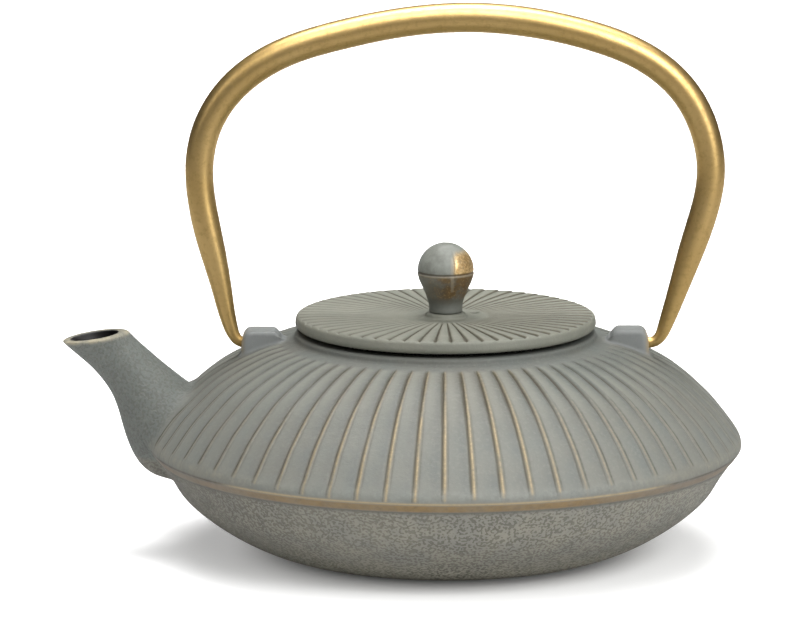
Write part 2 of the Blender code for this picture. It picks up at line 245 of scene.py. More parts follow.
class Nodes:
    def __init__(self, name):
        self.mat = bpy.data.materials.new(name)
        self.mat.use_nodes = True
        self.t = self.mat.node_tree
        self.t.nodes.clear()
        self.out = self.t.nodes.new("ShaderNodeOutputMaterial")
        self.b = self.t.nodes.new("ShaderNodeBsdfPrincipled")
        self.t.links.new(self.b.outputs[0], self.out.inputs[0])
        tc = self.t.nodes.new("ShaderNodeTexCoord")
        self.obj = tc.outputs["Object"]

    def put(self, sock, value):
        if isinstance(value, bpy.types.NodeSocket):
            self.t.links.new(value, sock)
        elif value is not None:
            if hasattr(sock.default_value, "__len__") and isinstance(value, (tuple, list)):
                v = list(value)
                if len(sock.default_value) == 4 and len(v) == 3:
                    v.append(1.0)
                sock.default_value = v
            else:
                sock.default_value = value

    def attr(self, name):
        n = self.t.nodes.new("ShaderNodeAttribute")
        n.attribute_name = name
        return n.outputs["Fac"]

    def math(self, op, a, b=None, c=None, clamp=False):
        n = self.t.nodes.new("ShaderNodeMath")
        n.operation = op
        n.use_clamp = clamp
        for i, v in enumerate((a, b, c)):
            if v is not None:
                self.put(n.inputs[i], v)
        return n.outputs[0]

    def ramp(self, x, lo, hi, a=0.0, b=1.0, smooth=True):
        n = self.t.nodes.new("ShaderNodeMapRange")
        n.interpolation_type = 'SMOOTHSTEP' if smooth else 'LINEAR'
        self.put(n.inputs["Value"], x)
        for k, v in (("From Min", lo), ("From Max", hi), ("To Min", a), ("To Max", b)):
            n.inputs[k].default_value = v
        return n.outputs[0]

    def mix(self, f, a, b):
        n = self.t.nodes.new("ShaderNodeMix")
        n.data_type = 'RGBA'
        self.put(n.inputs[0], f)
        self.put(n.inputs[6], a)
        self.put(n.inputs[7], b)
        return n.outputs[2]

    def noise(self, scale, detail=3.0, rough=0.55, lac=2.0, dist=0.0, vec=None):
        n = self.t.nodes.new("ShaderNodeTexNoise")
        self.put(n.inputs["Vector"], vec or self.obj)
        n.inputs["Scale"].default_value = scale
        n.inputs["Detail"].default_value = detail
        n.inputs["Roughness"].default_value = rough
        n.inputs["Lacunarity"].default_value = lac
        n.inputs["Distortion"].default_value = dist
        return n.outputs["Fac"]

    def voronoi(self, scale, feature='F1', rnd=1.0, vec=None, metric='EUCLIDEAN'):
        n = self.t.nodes.new("ShaderNodeTexVoronoi")
        n.feature = feature
        if feature not in ('DISTANCE_TO_EDGE', 'N_SPHERE_RADIUS'):
            n.distance = metric
        self.put(n.inputs["Vector"], vec or self.obj)
        n.inputs["Scale"].default_value = scale
        n.inputs["Randomness"].default_value = rnd
        return n.outputs["Distance"]

    def stretch(self, s):
        n = self.t.nodes.new("ShaderNodeMapping")
        self.put(n.inputs["Vector"], self.obj)
        n.inputs["Scale"].default_value = s
        return n.outputs[0]

    def bump(self, height, strength, distance, normal=None):
        n = self.t.nodes.new("ShaderNodeBump")
        n.inputs["Strength"].default_value = strength
        n.inputs["Distance"].default_value = distance
        self.put(n.inputs["Height"], height)
        if normal is not None:
            self.put(n.inputs["Normal"], normal)
        return n.outputs[0]


def srgb(r, g, b):
    def f(v):
        v /= 255.0
        return v / 12.92 if v <= 0.04045 else ((v + 0.055) / 1.055) ** 2.4
    return (f(r), f(g), f(b))


def iron_paint(name, kind):
    """Grey paint on cast iron, rubbed back to brown gold on its edges."""
    m = Nodes(name)
    big = m.noise(24.0, 4.0, 0.6)
    mid = m.noise(120.0, 4.0, 0.6)
    spots = m.noise(420.0, 4.0, 0.7)
    fine = m.noise(1000.0, 3.0, 0.62)
    grit = m.noise(2600.0, 2.0, 0.5)
    worm = m.ramp(m.noise(1250.0, 0.0, 0.5, dist=0.25), 0.43, 0.53)
    worm_b = m.ramp(m.noise(30.0, 2.0), 0.35, 0.65, 0.75, 1.0)
    low = m.attr("below_rim")
    spout = m.attr("spout")
    wormy = m.math('MAXIMUM', low, m.math('MULTIPLY', spout, 0.55))
    land = {"body": srgb(102, 103, 97), "lid": srgb(113, 114, 103)}[kind]
    land2 = {"body": srgb(99, 99, 93), "lid": srgb(107, 107, 96)}[kind]
    cool = {"body": srgb(93, 98, 96), "lid": srgb(104, 107, 98)}[kind]
    c = m.mix(m.ramp(big, 0.35, 0.68), land, land2)
    c = m.mix(m.ramp(mid, 0.3, 0.75, 0.0, 0.6), c, cool)
    c = m.mix(m.math('MULTIPLY', spout, 0.7), c, srgb(90, 95, 91))
    # painted shade: the shoulder is darker towards the neck
    c = m.mix(m.math('MULTIPLY', m.attr("neck_painted_shade"), 0.95), c, m.mix(m.ramp(big, 0.35, 0.65), srgb(80, 85, 81), srgb(84, 83, 76)))
    c = m.mix(m.math('MULTIPLY', m.attr("ear_block"), 0.85), c, srgb(115, 118, 117))
    # bowl tone: the bowl's own paint, made lighter as painted bounce light from the floor
    bowl_bounce_lit = m.mix(m.ramp(mid, 0.35, 0.65), srgb(126, 124, 112), srgb(118, 117, 109))
    c = m.mix(m.math('MULTIPLY', low, 0.9), c, bowl_bounce_lit)
    # painted light: lighter near the foot, standing in for bounce from the floor
    c = m.mix(m.math('MULTIPLY', m.attr("foot"), 0.75), c, srgb(148, 144, 129))
    # painted shade: the bowl is darker towards the spout side
    c = m.mix(m.math('MULTIPLY', m.attr("spout_side_painted_shade"), m.math('MULTIPLY', low, 0.55)), c, srgb(94, 92, 84))
    c = m.mix(m.math('MULTIPLY', m.math('SUBTRACT', 1.0, worm), m.math('MULTIPLY', m.math('MULTIPLY', wormy, worm_b), m.math('ADD', 0.60, m.math('MULTIPLY', m.attr("foot"), 0.34)))), c, srgb(68, 65, 56))
    c = m.mix(m.ramp(fine, 0.45, 0.75, 0.0, 0.20), c, srgb(128, 128, 120))
    c = m.mix(m.ramp(spots, 0.60, 0.72, 0.0, 0.22), c, srgb(76, 74, 64))
    # ribs: painted light on the start of each land, brown halo, painted shade in the crease lines and past the crest,
    # worn crest
    # painted light on the start of each land
    c = m.mix(m.math('MULTIPLY', m.attr("rib_land_painted_light"), 0.55), c, srgb(124, 124, 114))
    halo = m.math('MULTIPLY', m.attr("rib_halo"), m.ramp(mid, 0.25, 0.65, 0.35, 0.8))
    c = m.mix(halo, c, srgb(106, 95, 71))
    lo_f, hi_f = {"body": (0.70, 0.98), "lid": (0.68, 0.92)}[kind]
    # painted shade in the rib creases
    crease_shade = m.math('MULTIPLY', m.attr("rib_crease_painted_shade"), m.ramp(mid, 0.2, 0.6, lo_f, hi_f))
    c = m.mix(crease_shade, c, srgb(60, 56, 45))
    # painted shade just past each crest
    beyond = m.math('MULTIPLY', m.attr("rib_beyond_painted_shade"), m.ramp(spots, 0.3, 0.6, 0.35, 0.8))
    c = m.mix(beyond, c, srgb(58, 56, 44))
    patchy = m.math('ADD', m.ramp(mid, 0.28, 0.60, 0.45, 1.0), m.ramp(fine, 0.3, 0.7, -0.30, 0.2))
    rub = m.math('MULTIPLY', m.attr("rib_gold"), patchy, clamp=True)
    # rim: painted light on the rounded nose, then a narrow bright strip over a brown band and a fine crease; the
    # strip's edge turns to painted shade at the sides, and the crease is painted shade
    front = m.ramp(m.attr("front_share"), 0.80, 0.99)
    # painted light on the rounded nose above the rim edge
    rim_light_paint = m.math('MULTIPLY', m.attr("rim_painted_light"), m.math('MULTIPLY', m.ramp(spots, 0.42, 0.68, 0.30, 0.75), m.math('SUBTRACT', 1.0, m.math('MULTIPLY', front, 0.10))))
    c = m.mix(rim_light_paint, c, m.mix(front, srgb(121, 119, 107), srgb(124, 127, 121)))
    tan = m.mix(front, srgb(118, 103, 85), srgb(124, 103, 70))
    tan = m.mix(m.ramp(spots, 0.4, 0.7, 0.0, 0.45), tan, srgb(90, 80, 64))
    band = m.math('MULTIPLY', m.attr("rim_band"), m.math('ADD', m.ramp(mid, 0.25, 0.7, 0.55, 0.85), m.math('MULTIPLY', front, 0.15)), clamp=True)
    c = m.mix(band, c, tan)
    # painted shade in the fine crease under the band
    c = m.mix(m.math('MULTIPLY', m.attr("rim_crease_painted_shade"), 0.65), c, srgb(62, 57, 48))
    # painted shade: the rim edge turns dark away from the front
    edge_f = m.ramp(m.attr("front_share"), 0.82, 0.885)
    rim_edge_side_shade = m.math('MULTIPLY', m.attr("rim_edge"), m.math('MULTIPLY', m.math('SUBTRACT', 1.0, edge_f), m.ramp(mid, 0.3, 0.6, 0.45, 0.8)))
    c = m.mix(rim_edge_side_shade, c, srgb(66, 55, 43))
    edge = m.math('MULTIPLY', m.attr("rim_edge"), m.math('MULTIPLY', edge_f, m.ramp(spots, 0.3, 0.55, 0.7, 1.0)))
    lip = m.math('MULTIPLY', m.attr("lip"), m.ramp(mid, 0.40, 0.60, 0.25, 1.0))
    ear = m.math('MULTIPLY', m.attr("ear"), m.ramp(mid, 0.35, 0.6, 0.25, 0.9))
    gold = m.math('MAXIMUM', m.math('MULTIPLY', rub, 0.76), m.math('MAXIMUM', edge, ear))
    c = m.mix(gold, c, srgb(162, 146, 115))
    c = m.mix(m.math('MULTIPLY', lip, 0.85), c, srgb(150, 142, 120))
    metal = m.math('MULTIPLY', m.math('MAXIMUM', gold, m.math('MULTIPLY', band, 0.3)), 0.5)
    m.put(m.b.inputs["Base Color"], c)
    m.put(m.b.inputs["Metallic"], metal)
    rough = m.ramp(mid, 0.2, 0.8, 0.56, 0.70)
    rough = m.math('SUBTRACT', rough, m.math('MULTIPLY', gold, 0.16))
    m.put(m.b.inputs["Roughness"], rough)
    m.b.inputs["Specular IOR Level"].default_value = 0.42
    # relief: sand grain all over, wormy cast skin on bowl and spout
    grain = m.math('ADD', m.math('MULTIPLY', fine, 0.6), m.math('MULTIPLY', grit, 0.4))
    n1 = m.bump(grain, 0.42, 0.00026)
    h = m.math('MULTIPLY', worm, wormy)
    n2 = m.bump(h, 0.9, 0.00022, n1)
    n3 = m.bump(m.noise(260.0, 2.0, 0.5), 0.30, 0.0006, n2)
    m.put(m.b.inputs["Normal"], n3)
    return m.mat


def enamel(name):
    m = Nodes(name)
    n = m.noise(300.0, 3.0)
    m.put(m.b.inputs["Base Color"], m.mix(m.ramp(n, 0.3, 0.7), (0.006, 0.006, 0.006), (0.014, 0.013, 0.012)))
    m.put(m.b.inputs["Roughness"], m.ramp(m.noise(90.0, 3.0), 0.3, 0.7, 0.42, 0.55))
    m.b.inputs["Specular IOR Level"].default_value = 0.25
    m.put(m.b.inputs["Normal"], m.bump(m.noise(500.0, 3.0), 0.25, 0.0003))
    return m.mat


pot_mat = iron_paint("body_iron", "body")
lid_mat = iron_paint("lid_iron", "lid")
lining = enamel("black_enamel")

# ================================================================ pot body
RIBS = 65
RIB_PHASE = 0.995         # crest of a rib, as a share of the pitch
RIB_COLUMNS = np.array([0.0, 0.022, 0.045, 0.066, 0.084, 0.10, 0.118, 0.14, 0.19, 0.30, 0.44,
                        0.60, 0.72, 0.79, 0.825, 0.848, 0.866, 0.884, 0.902, 0.925, 0.95, 0.975])

UPPER = dense_curve([(43.0, 64.9), (43.75, 64.72), (44.2, 64.2), (44.32, 63.6),
                     (44.55, 63.1), (45.3, 62.72), (46.5, 62.5), (48.5, 62.1),
                     (51.7, 61.35), (57.6, 59.2), (63.6, 56.3), (69.6, 52.6),
                     (75.5, 47.5), (80.0, 42.9), (83.6, 38.3), (85.95, 34.9),
                     (86.8, 33.1), (86.98, 32.1), (86.98, 31.55)])
EDGE = dense_curve([(86.98, 31.55), (86.93, 31.25), (86.75, 30.98)])
BAND = dense_curve([(86.75, 30.98), (86.1, 30.0), (85.2, 28.9)])
CREASE = dense_curve([(85.2, 28.9), (84.75, 28.55), (84.42, 28.1)])
BOWL = dense_curve([(84.42, 28.1), (82.9, 25.9), (81.2, 23.4), (78.4, 18.8), (73.7, 14.0),
                    (67.7, 9.5), (60.3, 5.15), (51.5, 1.6), (46.2, 0.42),
                    (42.4, 0.0)])
FLAT = dense_curve([(42.4, 0.0), (30.0, 0.0), (3.0, 0.0)])


def spaced(curve, spacing):
    t = np.concatenate([[0], np.cumsum(np.linalg.norm(np.diff(curve, axis=0), axis=1))])
    if callable(spacing):
        w = np.array([1.0 / spacing(p) for p in curve])
        c = np.concatenate([[0], np.cumsum((w[1:] + w[:-1]) / 2 * np.diff(t))])
    else:
        c = t / spacing
    n = max(2, int(round(c[-1])))
    tq = np.interp(np.linspace(0, c[-1], n + 1), c, t)
    return np.stack([np.interp(tq, t, curve[:, k]) for k in (0, 1)], 1)


def upper_step(p):
    r = p[0]
    if r < 48.5:
        return 0.27
    if r < 84.3:
        return 0.27 + 0.6 * smoothstep(48.5, 52.0, r)
    return 0.3


PROFILE_ROWS = np.concatenate([
    np.array([[37.0, 64.9], [40.0, 64.9]]),
    spaced(UPPER, upper_step)[:-1], spaced(EDGE, 0.16)[:-1],
    spaced(BAND, 0.55)[:-1], spaced(CREASE, 0.2)[:-1],
    spaced(BOWL, 1.0)[:-1], spaced(FLAT, 5.0)])
ROW_V = np.concatenate([[0], np.cumsum(np.linalg.norm(np.diff(PROFILE_ROWS, axis=0), axis=1))])
FINE = np.concatenate([np.array([[30.0, 64.9], [37.0, 64.9]]), UPPER, EDGE[1:],
                       BAND[1:], CREASE[1:], BOWL[1:], FLAT[1:]])
FINE_D = np.diff(FINE, axis=0)
keep = np.concatenate([[True], np.linalg.norm(FINE_D, axis=1) > 1e-6])
FINE = FINE[keep]


def profile_normal(rows):
    """Outward normals (r, z) at points of the profile."""
    d = np.gradient(FINE, axis=0)
    d /= np.linalg.norm(d, axis=1)[:, None]
    nrm = np.stack([-d[:, 1], d[:, 0]], 1)
    out = np.zeros_like(rows)
    for i, p in enumerate(rows):
        j = np.argmin(((FINE - p) ** 2).sum(1))
        out[i] = nrm[j]
    return out


ROW_N = profile_normal(PROFILE_ROWS)


def _exact_distance(q):
    a = FINE[::5]
    b = a[1:]
    a = a[:-1]
    ab = b - a
    ll = (ab * ab).sum(1)
    out = np.empty(len(q))
    grad = np.empty((len(q), 2))
    for s in range(0, len(q), 4000):
        qq = q[s:s + 4000]
        t = np.clip(((qq[:, None] - a) * ab).sum(-1) / ll, 0, 1)
        diff = qq[:, None] - (a + ab * t[..., None])
        d2 = (diff * diff).sum(-1)
        i = d2.argmin(1)
        k = np.arange(len(qq))
        seg_n = np.stack([-ab[i, 1], ab[i, 0]], 1) / np.sqrt(ll[i])[:, None]
        sign = np.where((diff[k, i] * seg_n).sum(1) < 0, -1.0, 1.0)
        dist = np.sqrt(d2[k, i])
        out[s:s + 4000] = dist * sign
        g = diff[k, i] * sign[:, None]
        grad[s:s + 4000] = np.where(dist[:, None] > 0.05, g / np.maximum(dist, 1e-9)[:, None], seg_n)
    return out, grad


CELL = 0.4
TAB_R, TAB_Z = np.arange(0, 121, CELL), np.arange(-4, 76, CELL)
_d, _g = _exact_distance(np.stack(np.meshgrid(TAB_R, TAB_Z), -1).reshape(-1, 2))
TAB = np.concatenate([_d[:, None], _g], 1).reshape(len(TAB_Z), len(TAB_R), 3)


def body_distance(pts):
    """Signed distance (mm) from points to the plain body, and its gradient."""
    r = np.hypot(pts[:, 0], pts[:, 1])
    u = np.clip(r / CELL, 0, len(TAB_R) - 1.001)
    v = np.clip((pts[:, 2] + 4) / CELL, 0, len(TAB_Z) - 1.001)
    i, j = u.astype(int), v.astype(int)
    fu, fv = (u - i)[:, None], (v - j)[:, None]
    w = (TAB[j, i] * (1 - fu) * (1 - fv) + TAB[j, i + 1] * fu * (1 - fv)
         + TAB[j + 1, i] * (1 - fu) * fv + TAB[j + 1, i + 1] * fu * fv)
    rr = np.maximum(r, 1e-6)
    n3 = np.stack([w[:, 1] * pts[:, 0] / rr, w[:, 1] * pts[:, 1] / rr, w[:, 2]], 1)
    n3 /= np.maximum(np.linalg.norm(n3, axis=1), 1e-6)[:, None]
    return w[:, 0], n3


# ---- spout: oval sections between a low and a high line
SPOUT_KEYS = np.array([
    # low x, low z, high x, high z, breadth
    (-112.8, 62.0, -93.3, 64.9, 17.4), (-108.5, 58.2, -90.6, 62.1, 16.0),
    (-104.3, 54.5, -87.8, 59.6, 16.2), (-100.7, 50.4, -85.0, 57.1, 17.2),
    (-98.0, 46.2, -82.2, 54.7, 19.2), (-96.2, 41.5, -79.5, 52.5, 22.0),
    (-94.9, 36.8, -76.7, 50.3, 25.0), (-93.3, 31.8, -73.5, 48.0, 27.5),
    (-90.5, 26.3, -69.5, 45.0, 29.0), (-85.6, 22.2, -65.5, 41.0, 29.0),
    (-78.0, 20.2, -62.0, 36.0, 26.0)])
WALL = 2.7


def spout_keys_inner():
    k = SPOUT_KEYS.copy()
    for row in k:
        lo, hi = row[:2].copy(), row[2:4].copy()
        t = WALL / np.linalg.norm(hi - lo) * 1.12
        row[:2], row[2:4] = lo + (hi - lo) * t, hi - (hi - lo) * t
        row[4] -= 2 * WALL
    k[-1] = (-72.0, 24.0, -60.0, 38.0, 18.0)
    return k


INNER_KEYS = spout_keys_inner()


def spout_surface(keys, t, phi):
    """Points of the oval loft; t counts sections from the lip."""
    ks = np.arange(len(keys))
    lx, lz, ux, uz, w = (natural_spline(ks, keys[:, i], t) for i in range(5))
    c, s = np.cos(phi), np.sin(phi)
    x = (lx + ux) / 2 + (ux - lx) / 2 * c
    z = (lz + uz) / 2 + (uz - lz) / 2 * c
    return np.stack([x, w / 2 * s, z], -1)


N_SP = 112
sp_phi = np.arange(N_SP) * TAU / N_SP
# a plain closed spout, for distances to it
tt = np.linspace(0, 10, 121)
sp_grid = spout_surface(SPOUT_KEYS, np.repeat(tt, N_SP), np.tile(sp_phi, len(tt)))
sh = Shell()
idx = sh.add(sp_grid).reshape(len(tt), N_SP)
sh.grid(idx)
deep = sh.add(sp_grid[-N_SP:] + np.array([16.0, 0.0, 5.0])).reshape(1, N_SP)
sh.grid(np.concatenate([idx[-1:], deep]))
sh.fan(idx[0], sp_grid[:N_SP].mean(0), flip=True)
sh.fan(deep[0], sp_grid[-N_SP:].mean(0) + np.array([16.0, 0.0, 5.0]))
sp_me = sh.mesh("spout_guide")
face_out(sp_me)
sp_bvh = BVHTree.FromPolygons([v.co / MM for v in sp_me.vertices],
                              [tuple(p.vertices) for p in sp_me.polygons])
bpy.data.meshes.remove(sp_me)


def spout_distance(pts, reach_mm=20.0):
    d = np.full(len(pts), 1e3)
    n = np.zeros((len(pts), 3))
    for i, p in enumerate(pts):
        hit, nrm, _, dist = sp_bvh.find_nearest(Vector(p), reach_mm)
        if hit is None:
            continue
        v = Vector(p) - hit
        s = 1.0 if v.dot(nrm) >= 0 else -1.0
        d[i] = dist * s
        n[i] = (v * s).normalized() if dist > 0.05 else nrm
    return d, n


def blend_push(gap, n_own, n_other, k):
    """How far a point of one surface moves out where another comes within k
    of it, so that the two meet in a fillet."""
    g = np.clip(k - np.abs(gap), 0, k)
    m = 0.5 * g / k
    grad = n_own * (1 - m)[:, None] + n_other * m[:, None]
    size = g * g / (4 * k)
    return grad * (size / np.maximum((grad ** 2).sum(1), 0.25))[:, None]


def spout_fillet(p):
    """Fillet size: wide on the flanks, tight in the crook and underneath."""
    return (1.3 + 4.2 * smoothstep(4.0, 11.0, np.abs(p[:, 1]))
            * smoothstep(30.5, 35.0, p[:, 2]))


# where each line of the spout meets the body
lo_t, hi_t = np.zeros(N_SP), np.full(N_SP, 10.0)
scan = np.linspace(0, 10, 161)
inside = np.stack([body_distance(spout_surface(SPOUT_KEYS, np.full(N_SP, t), sp_phi))[0] < 0
                   for t in scan])
first = inside.argmax(0)
lo_t, hi_t = scan[first - 1], scan[first]
for _ in range(24):
    mid = (lo_t + hi_t) / 2
    ins = body_distance(spout_surface(SPOUT_KEYS, mid, sp_phi))[0] < 0
    hi_t = np.where(ins, mid, hi_t)
    lo_t = np.where(ins, lo_t, mid)
t_join = (lo_t + hi_t) / 2
join_pts = spout_surface(SPOUT_KEYS, t_join, sp_phi)


# ---- ears: upright blocks with rounded corners on the shoulder
EARS = {
    "left": dict(x0=-59.9, x1=-47.2, top=65.5),
    "right": dict(x0=47.2, x1=59.6, top=66.0),
}
EAR_HALF_Y, EAR_CORNER, EAR_K = 5.0, 2.2, 1.3
N_EAR = 96


def ear_outline(ear):
    cx, hx = (ear["x0"] + ear["x1"]) / 2, (ear["x1"] - ear["x0"]) / 2
    return cx, hx, EAR_HALF_Y


def ear_ring(ear, inset):
    cx, hx, hy = ear_outline(ear)
    hx, hy, rc = hx - inset, hy - inset, max(EAR_CORNER - inset * 0.6, 0.6)
    # walk the perimeter evenly
    pts = []
    for sx, sy, a0 in ((1, 1, 0), (-1, 1, 90), (-1, -1, 180), (1, -1, 270)):
        for a in np.linspace(a0, a0 + 90, 13):
            pts.append((cx + sx * (hx - rc) + rc * math.cos(math.radians(a)),
                        sy * (hy - rc) + rc * math.sin(math.radians(a))))
    p = np.array(pts + [pts[0]])
    t = np.concatenate([[0], np.cumsum(np.linalg.norm(np.diff(p, axis=0), axis=1))])
    tq = np.arange(N_EAR) * t[-1] / N_EAR
    return np.stack([np.interp(tq, t, p[:, 0]), np.interp(tq, t, p[:, 1])], 1)


def ear_distance(ear, pts):
    """Distance in plan from the ear's outline, and its direction."""
    cx, hx, hy = ear_outline(ear)
    q = np.stack([np.abs(pts[:, 0] - cx) - (hx - EAR_CORNER),
                  np.abs(pts[:, 1]) - (hy - EAR_CORNER)], 1)
    qp = np.maximum(q, 0)
    ln = np.linalg.norm(qp, axis=1)
    d = ln + np.minimum(q.max(1), 0) - EAR_CORNER
    n = np.where(ln[:, None] > 1e-6, qp / np.maximum(ln, 1e-6)[:, None],
                 np.eye(2)[q.argmax(1)])
    n3 = np.stack([n[:, 0] * np.sign(pts[:, 0] - cx), n[:, 1] * np.sign(pts[:, 1]),
                   np.zeros(len(pts))], 1)
    return d, n3


UP_R, UP_Z = UPPER[UPPER[:, 0] > 45][:, 0], UPPER[UPPER[:, 0] > 45][:, 1]
mono = np.concatenate([[True], np.diff(np.maximum.accumulate(UP_R)) > 1e-6])


def shoulder_z(r):
    return np.interp(r, UP_R[mono], UP_Z[mono])


# ---- the surface of the body at (column angle, row)


def rib_depth(theta, r, z):
    """Each land falls away a little to a groove, then steps up to a crest."""
    p = ((theta + math.pi / 2) * RIBS / TAU - RIB_PHASE) % 1.0
    inner = 1 - smoothstep(58.0, 78.0, r)
    at = 0.874 - 0.012 * inner
    wide = 0.034 + 0.022 * inner
    land = 0.13 * np.clip(p / 0.86, 0, 1) * (1 - smoothstep(0.89, 0.985, p))
    groove = (0.24 + 0.10 * inner) * np.exp(-((p - at) / wide) ** 2.0)
    beyond = 0.10 * (1 - inner) * np.exp(-((p - 0.092) / 0.026) ** 2)
    q = np.minimum(p, 1 - p)
    crest = 0.09 * (1 - np.exp(-(q / 0.04) ** 2)) * (1 - 0.6 * inner)
    on = smoothstep(47.4, 50.5, r) * smoothstep(31.5, 32.3, z)
    soft = 1 - smoothstep(84.6, 86.75, r)
    return np.where(r < 46, 0, ((land + beyond + crest) * soft + groove * (0.4 + 0.6 * soft)) * on)


def body_points(theta, v):
    """Final position of the surface for columns theta and rows v."""
    r = np.interp(v, ROW_V, PROFILE_ROWS[:, 0])
    z = np.interp(v, ROW_V, PROFILE_ROWS[:, 1])
    nr = np.interp(v, ROW_V, ROW_N[:, 0])
    nz = np.interp(v, ROW_V, ROW_N[:, 1])
    ln = np.hypot(nr, nz)
    nr, nz = nr / ln, nz / ln
    c, s = np.cos(theta), np.sin(theta)
    base = np.stack([r * c, r * s, z], -1)
    n = np.stack([nr * c, nr * s, nz], -1)
    depth = rib_depth(theta, r, z)
    near_s = (base[:, 0] < -50) & (np.abs(base[:, 1]) < 42) & (z > 8)
    push = np.zeros_like(base)
    fade = np.ones(len(base))
    if near_s.any():
        d, ns = spout_distance(base[near_s])
        push[near_s] += blend_push(d, n[near_s], ns, spout_fillet(base[near_s]))
        fade[near_s] = smoothstep(0.5, 5.5, d)
    for ear in EARS.values():
        near = (np.sign(base[:, 0]) == np.sign(ear["x0"])) & (r < 66) & (r > 43) & (np.abs(base[:, 1]) < 12) & (z > 50)
        if near.any():
            d, ns = ear_distance(ear, base[near])
            push[near] += blend_push(d, n[near], ns, EAR_K)
            fade[near] *= smoothstep(0.2, 1.8, d)
    return base + push - n * (depth * fade)[:, None]


theta_cols = (((np.arange(RIBS)[:, None] + RIB_COLUMNS[None] + RIB_PHASE) / RIBS * TAU).ravel()
              - math.pi / 2)
theta_cols = np.sort(np.mod(theta_cols, TAU))
NU, NV = len(theta_cols), len(PROFILE_ROWS)


pot = Shell()
uu, vv = np.meshgrid(theta_cols, ROW_V)
main_idx = pot.add(body_points(uu.ravel(), vv.ravel())).reshape(NV, NU)
quads_alive = np.ones((NV - 1, NU), bool)      # quad between rows i,i+1 and columns j,j+1


def point_in_poly(px, py, poly):
    inside = np.zeros(len(px), bool)
    x1, y1 = poly[:, 0], poly[:, 1]
    x2, y2 = np.roll(x1, -1), np.roll(y1, -1)
    for a, b, c, d in zip(x1, y1, x2, y2):
        hit = ((b > py) != (d > py)) & (px < (c - a) * (py - b) / (d - b + 1e-12) + a)
        inside ^= hit
    return inside


def dist_to_poly(px, py, poly):
    a = poly
    b = np.roll(poly, -1, axis=0)
    ab = b - a
    q = np.stack([px, py], 1)
    t = np.clip(((q[:, None] - a) * ab).sum(-1) / (ab * ab).sum(-1), 0, 1)
    return np.linalg.norm(q[:, None] - (a + ab * t[..., None]), axis=-1).min(1)


def open_and_stitch(loop_theta, loop_v, loop_idx, scale_r, clear):
    """Removes the grid's quads under a closed loop and joins loop and grid
    with a triangulated strip."""
    centre = np.angle(np.exp(1j * loop_theta).mean())
    lt = centre + np.angle(np.exp(1j * (loop_theta - centre)))
    poly = np.stack([lt * scale_r, loop_v], 1)
    cols = centre + np.angle(np.exp(1j * (theta_cols - centre)))
    order = np.argsort(cols)
    sorted_cols = cols[order]
    c0 = np.searchsorted(sorted_cols, lt.min()) - 4
    c1 = np.searchsorted(sorted_cols, lt.max()) + 4
    csel = list(order[c0:c1])
    r0 = np.searchsorted(ROW_V, loop_v.min()) - 3
    r1 = np.searchsorted(ROW_V, loop_v.max()) + 2
    cu = cols[csel] * scale_r
    gu, gv = np.meshgrid(cu, ROW_V[r0:r1 + 1])
    gi = main_idx[r0:r1 + 1][:, csel]
    ins = point_in_poly(gu.ravel(), gv.ravel(), poly).reshape(gu.shape)
    dst = dist_to_poly(gu.ravel(), gv.ravel(), poly).reshape(gu.shape)
    border = np.zeros_like(ins)
    border[0], border[-1], border[:, 0], border[:, -1] = True, True, True, True
    use = (~ins & (dst > clear)) | border
    keep_uv = np.stack([gu[use], gv[use]], 1)
    keep_id = gi[use]
    number = -np.ones(gu.shape, int)
    number[use] = np.arange(use.sum())
    ring = list(number[0, :]) + list(number[1:, -1]) + list(number[-1, -2::-1]) + list(number[-2:0:-1, 0])
    nk = len(keep_uv)
    edges = [(int(ring[i]), int(ring[(i + 1) % len(ring)])) for i in range(len(ring))]
    nl = len(poly)
    edges += [(nk + i, nk + (i + 1) % nl) for i in range(nl)]
    pts = [Vector(p) for p in np.concatenate([keep_uv, poly])]
    ov, oe, of, orig, _, _ = delaunay_2d_cdt(pts, edges, [], 0, 1e-7)
    ids = np.concatenate([keep_id, loop_idx])
    vid = []
    for o in orig:
        if not o:
            raise RuntimeError("stitching made a new point")
        vid.append(ids[o[0]])
    tris = []
    ovn = np.array([tuple(v) for v in ov])
    for f in of:
        f = list(f)
        c = ovn[f].mean(0)
        if point_in_poly(np.array([c[0]]), np.array([c[1]]), poly)[0]:
            continue
        for k in range(1, len(f) - 1):
            tris.append((vid[f[0]], vid[f[k]], vid[f[k + 1]]))
    # quads of the opened block go
    for a, b in zip(csel[:-1], csel[1:]):
        quads_alive[r0:r1, a] = False
    t = np.array(tris)
    return t


# spout loop on the body
SP_TH = np.arctan2(join_pts[:, 1], join_pts[:, 0])
jr = np.hypot(join_pts[:, 0], join_pts[:, 1])
FINE_V = np.concatenate([[0], np.cumsum(np.linalg.norm(np.diff(FINE, axis=0), axis=1))])
FINE_V = FINE_V - 7.0     # rows start at r = 37


def v_of(r, z):
    """Arc length along the profile of the nearest point to (r, z)."""
    a, ab = FINE[:-1], np.diff(FINE, axis=0)
    out = np.empty(len(r))
    for i, p in enumerate(np.stack([r, z], 1)):
        t = np.clip(((p - a) * ab).sum(1) / (ab * ab).sum(1), 0, 1)
        j = (((a + ab * t[:, None]) - p) ** 2).sum(1).argmin()
        out[i] = FINE_V[j] + t[j] * math.hypot(*ab[j])
    return out


def spout_normal(t, phi):
    e = 1e-3
    du = spout_surface(SPOUT_KEYS, t + e, phi) - spout_surface(SPOUT_KEYS, t - e, phi)
    dv = spout_surface(SPOUT_KEYS, t, phi + e) - spout_surface(SPOUT_KEYS, t, phi - e)
    n = np.cross(du, dv)
    n /= np.linalg.norm(n, axis=1)[:, None]
    mid = spout_surface(SPOUT_KEYS, t, phi + math.pi)
    out = spout_surface(SPOUT_KEYS, t, phi) - mid
    n[(n * out).sum(1) < 0] *= -1
    return n


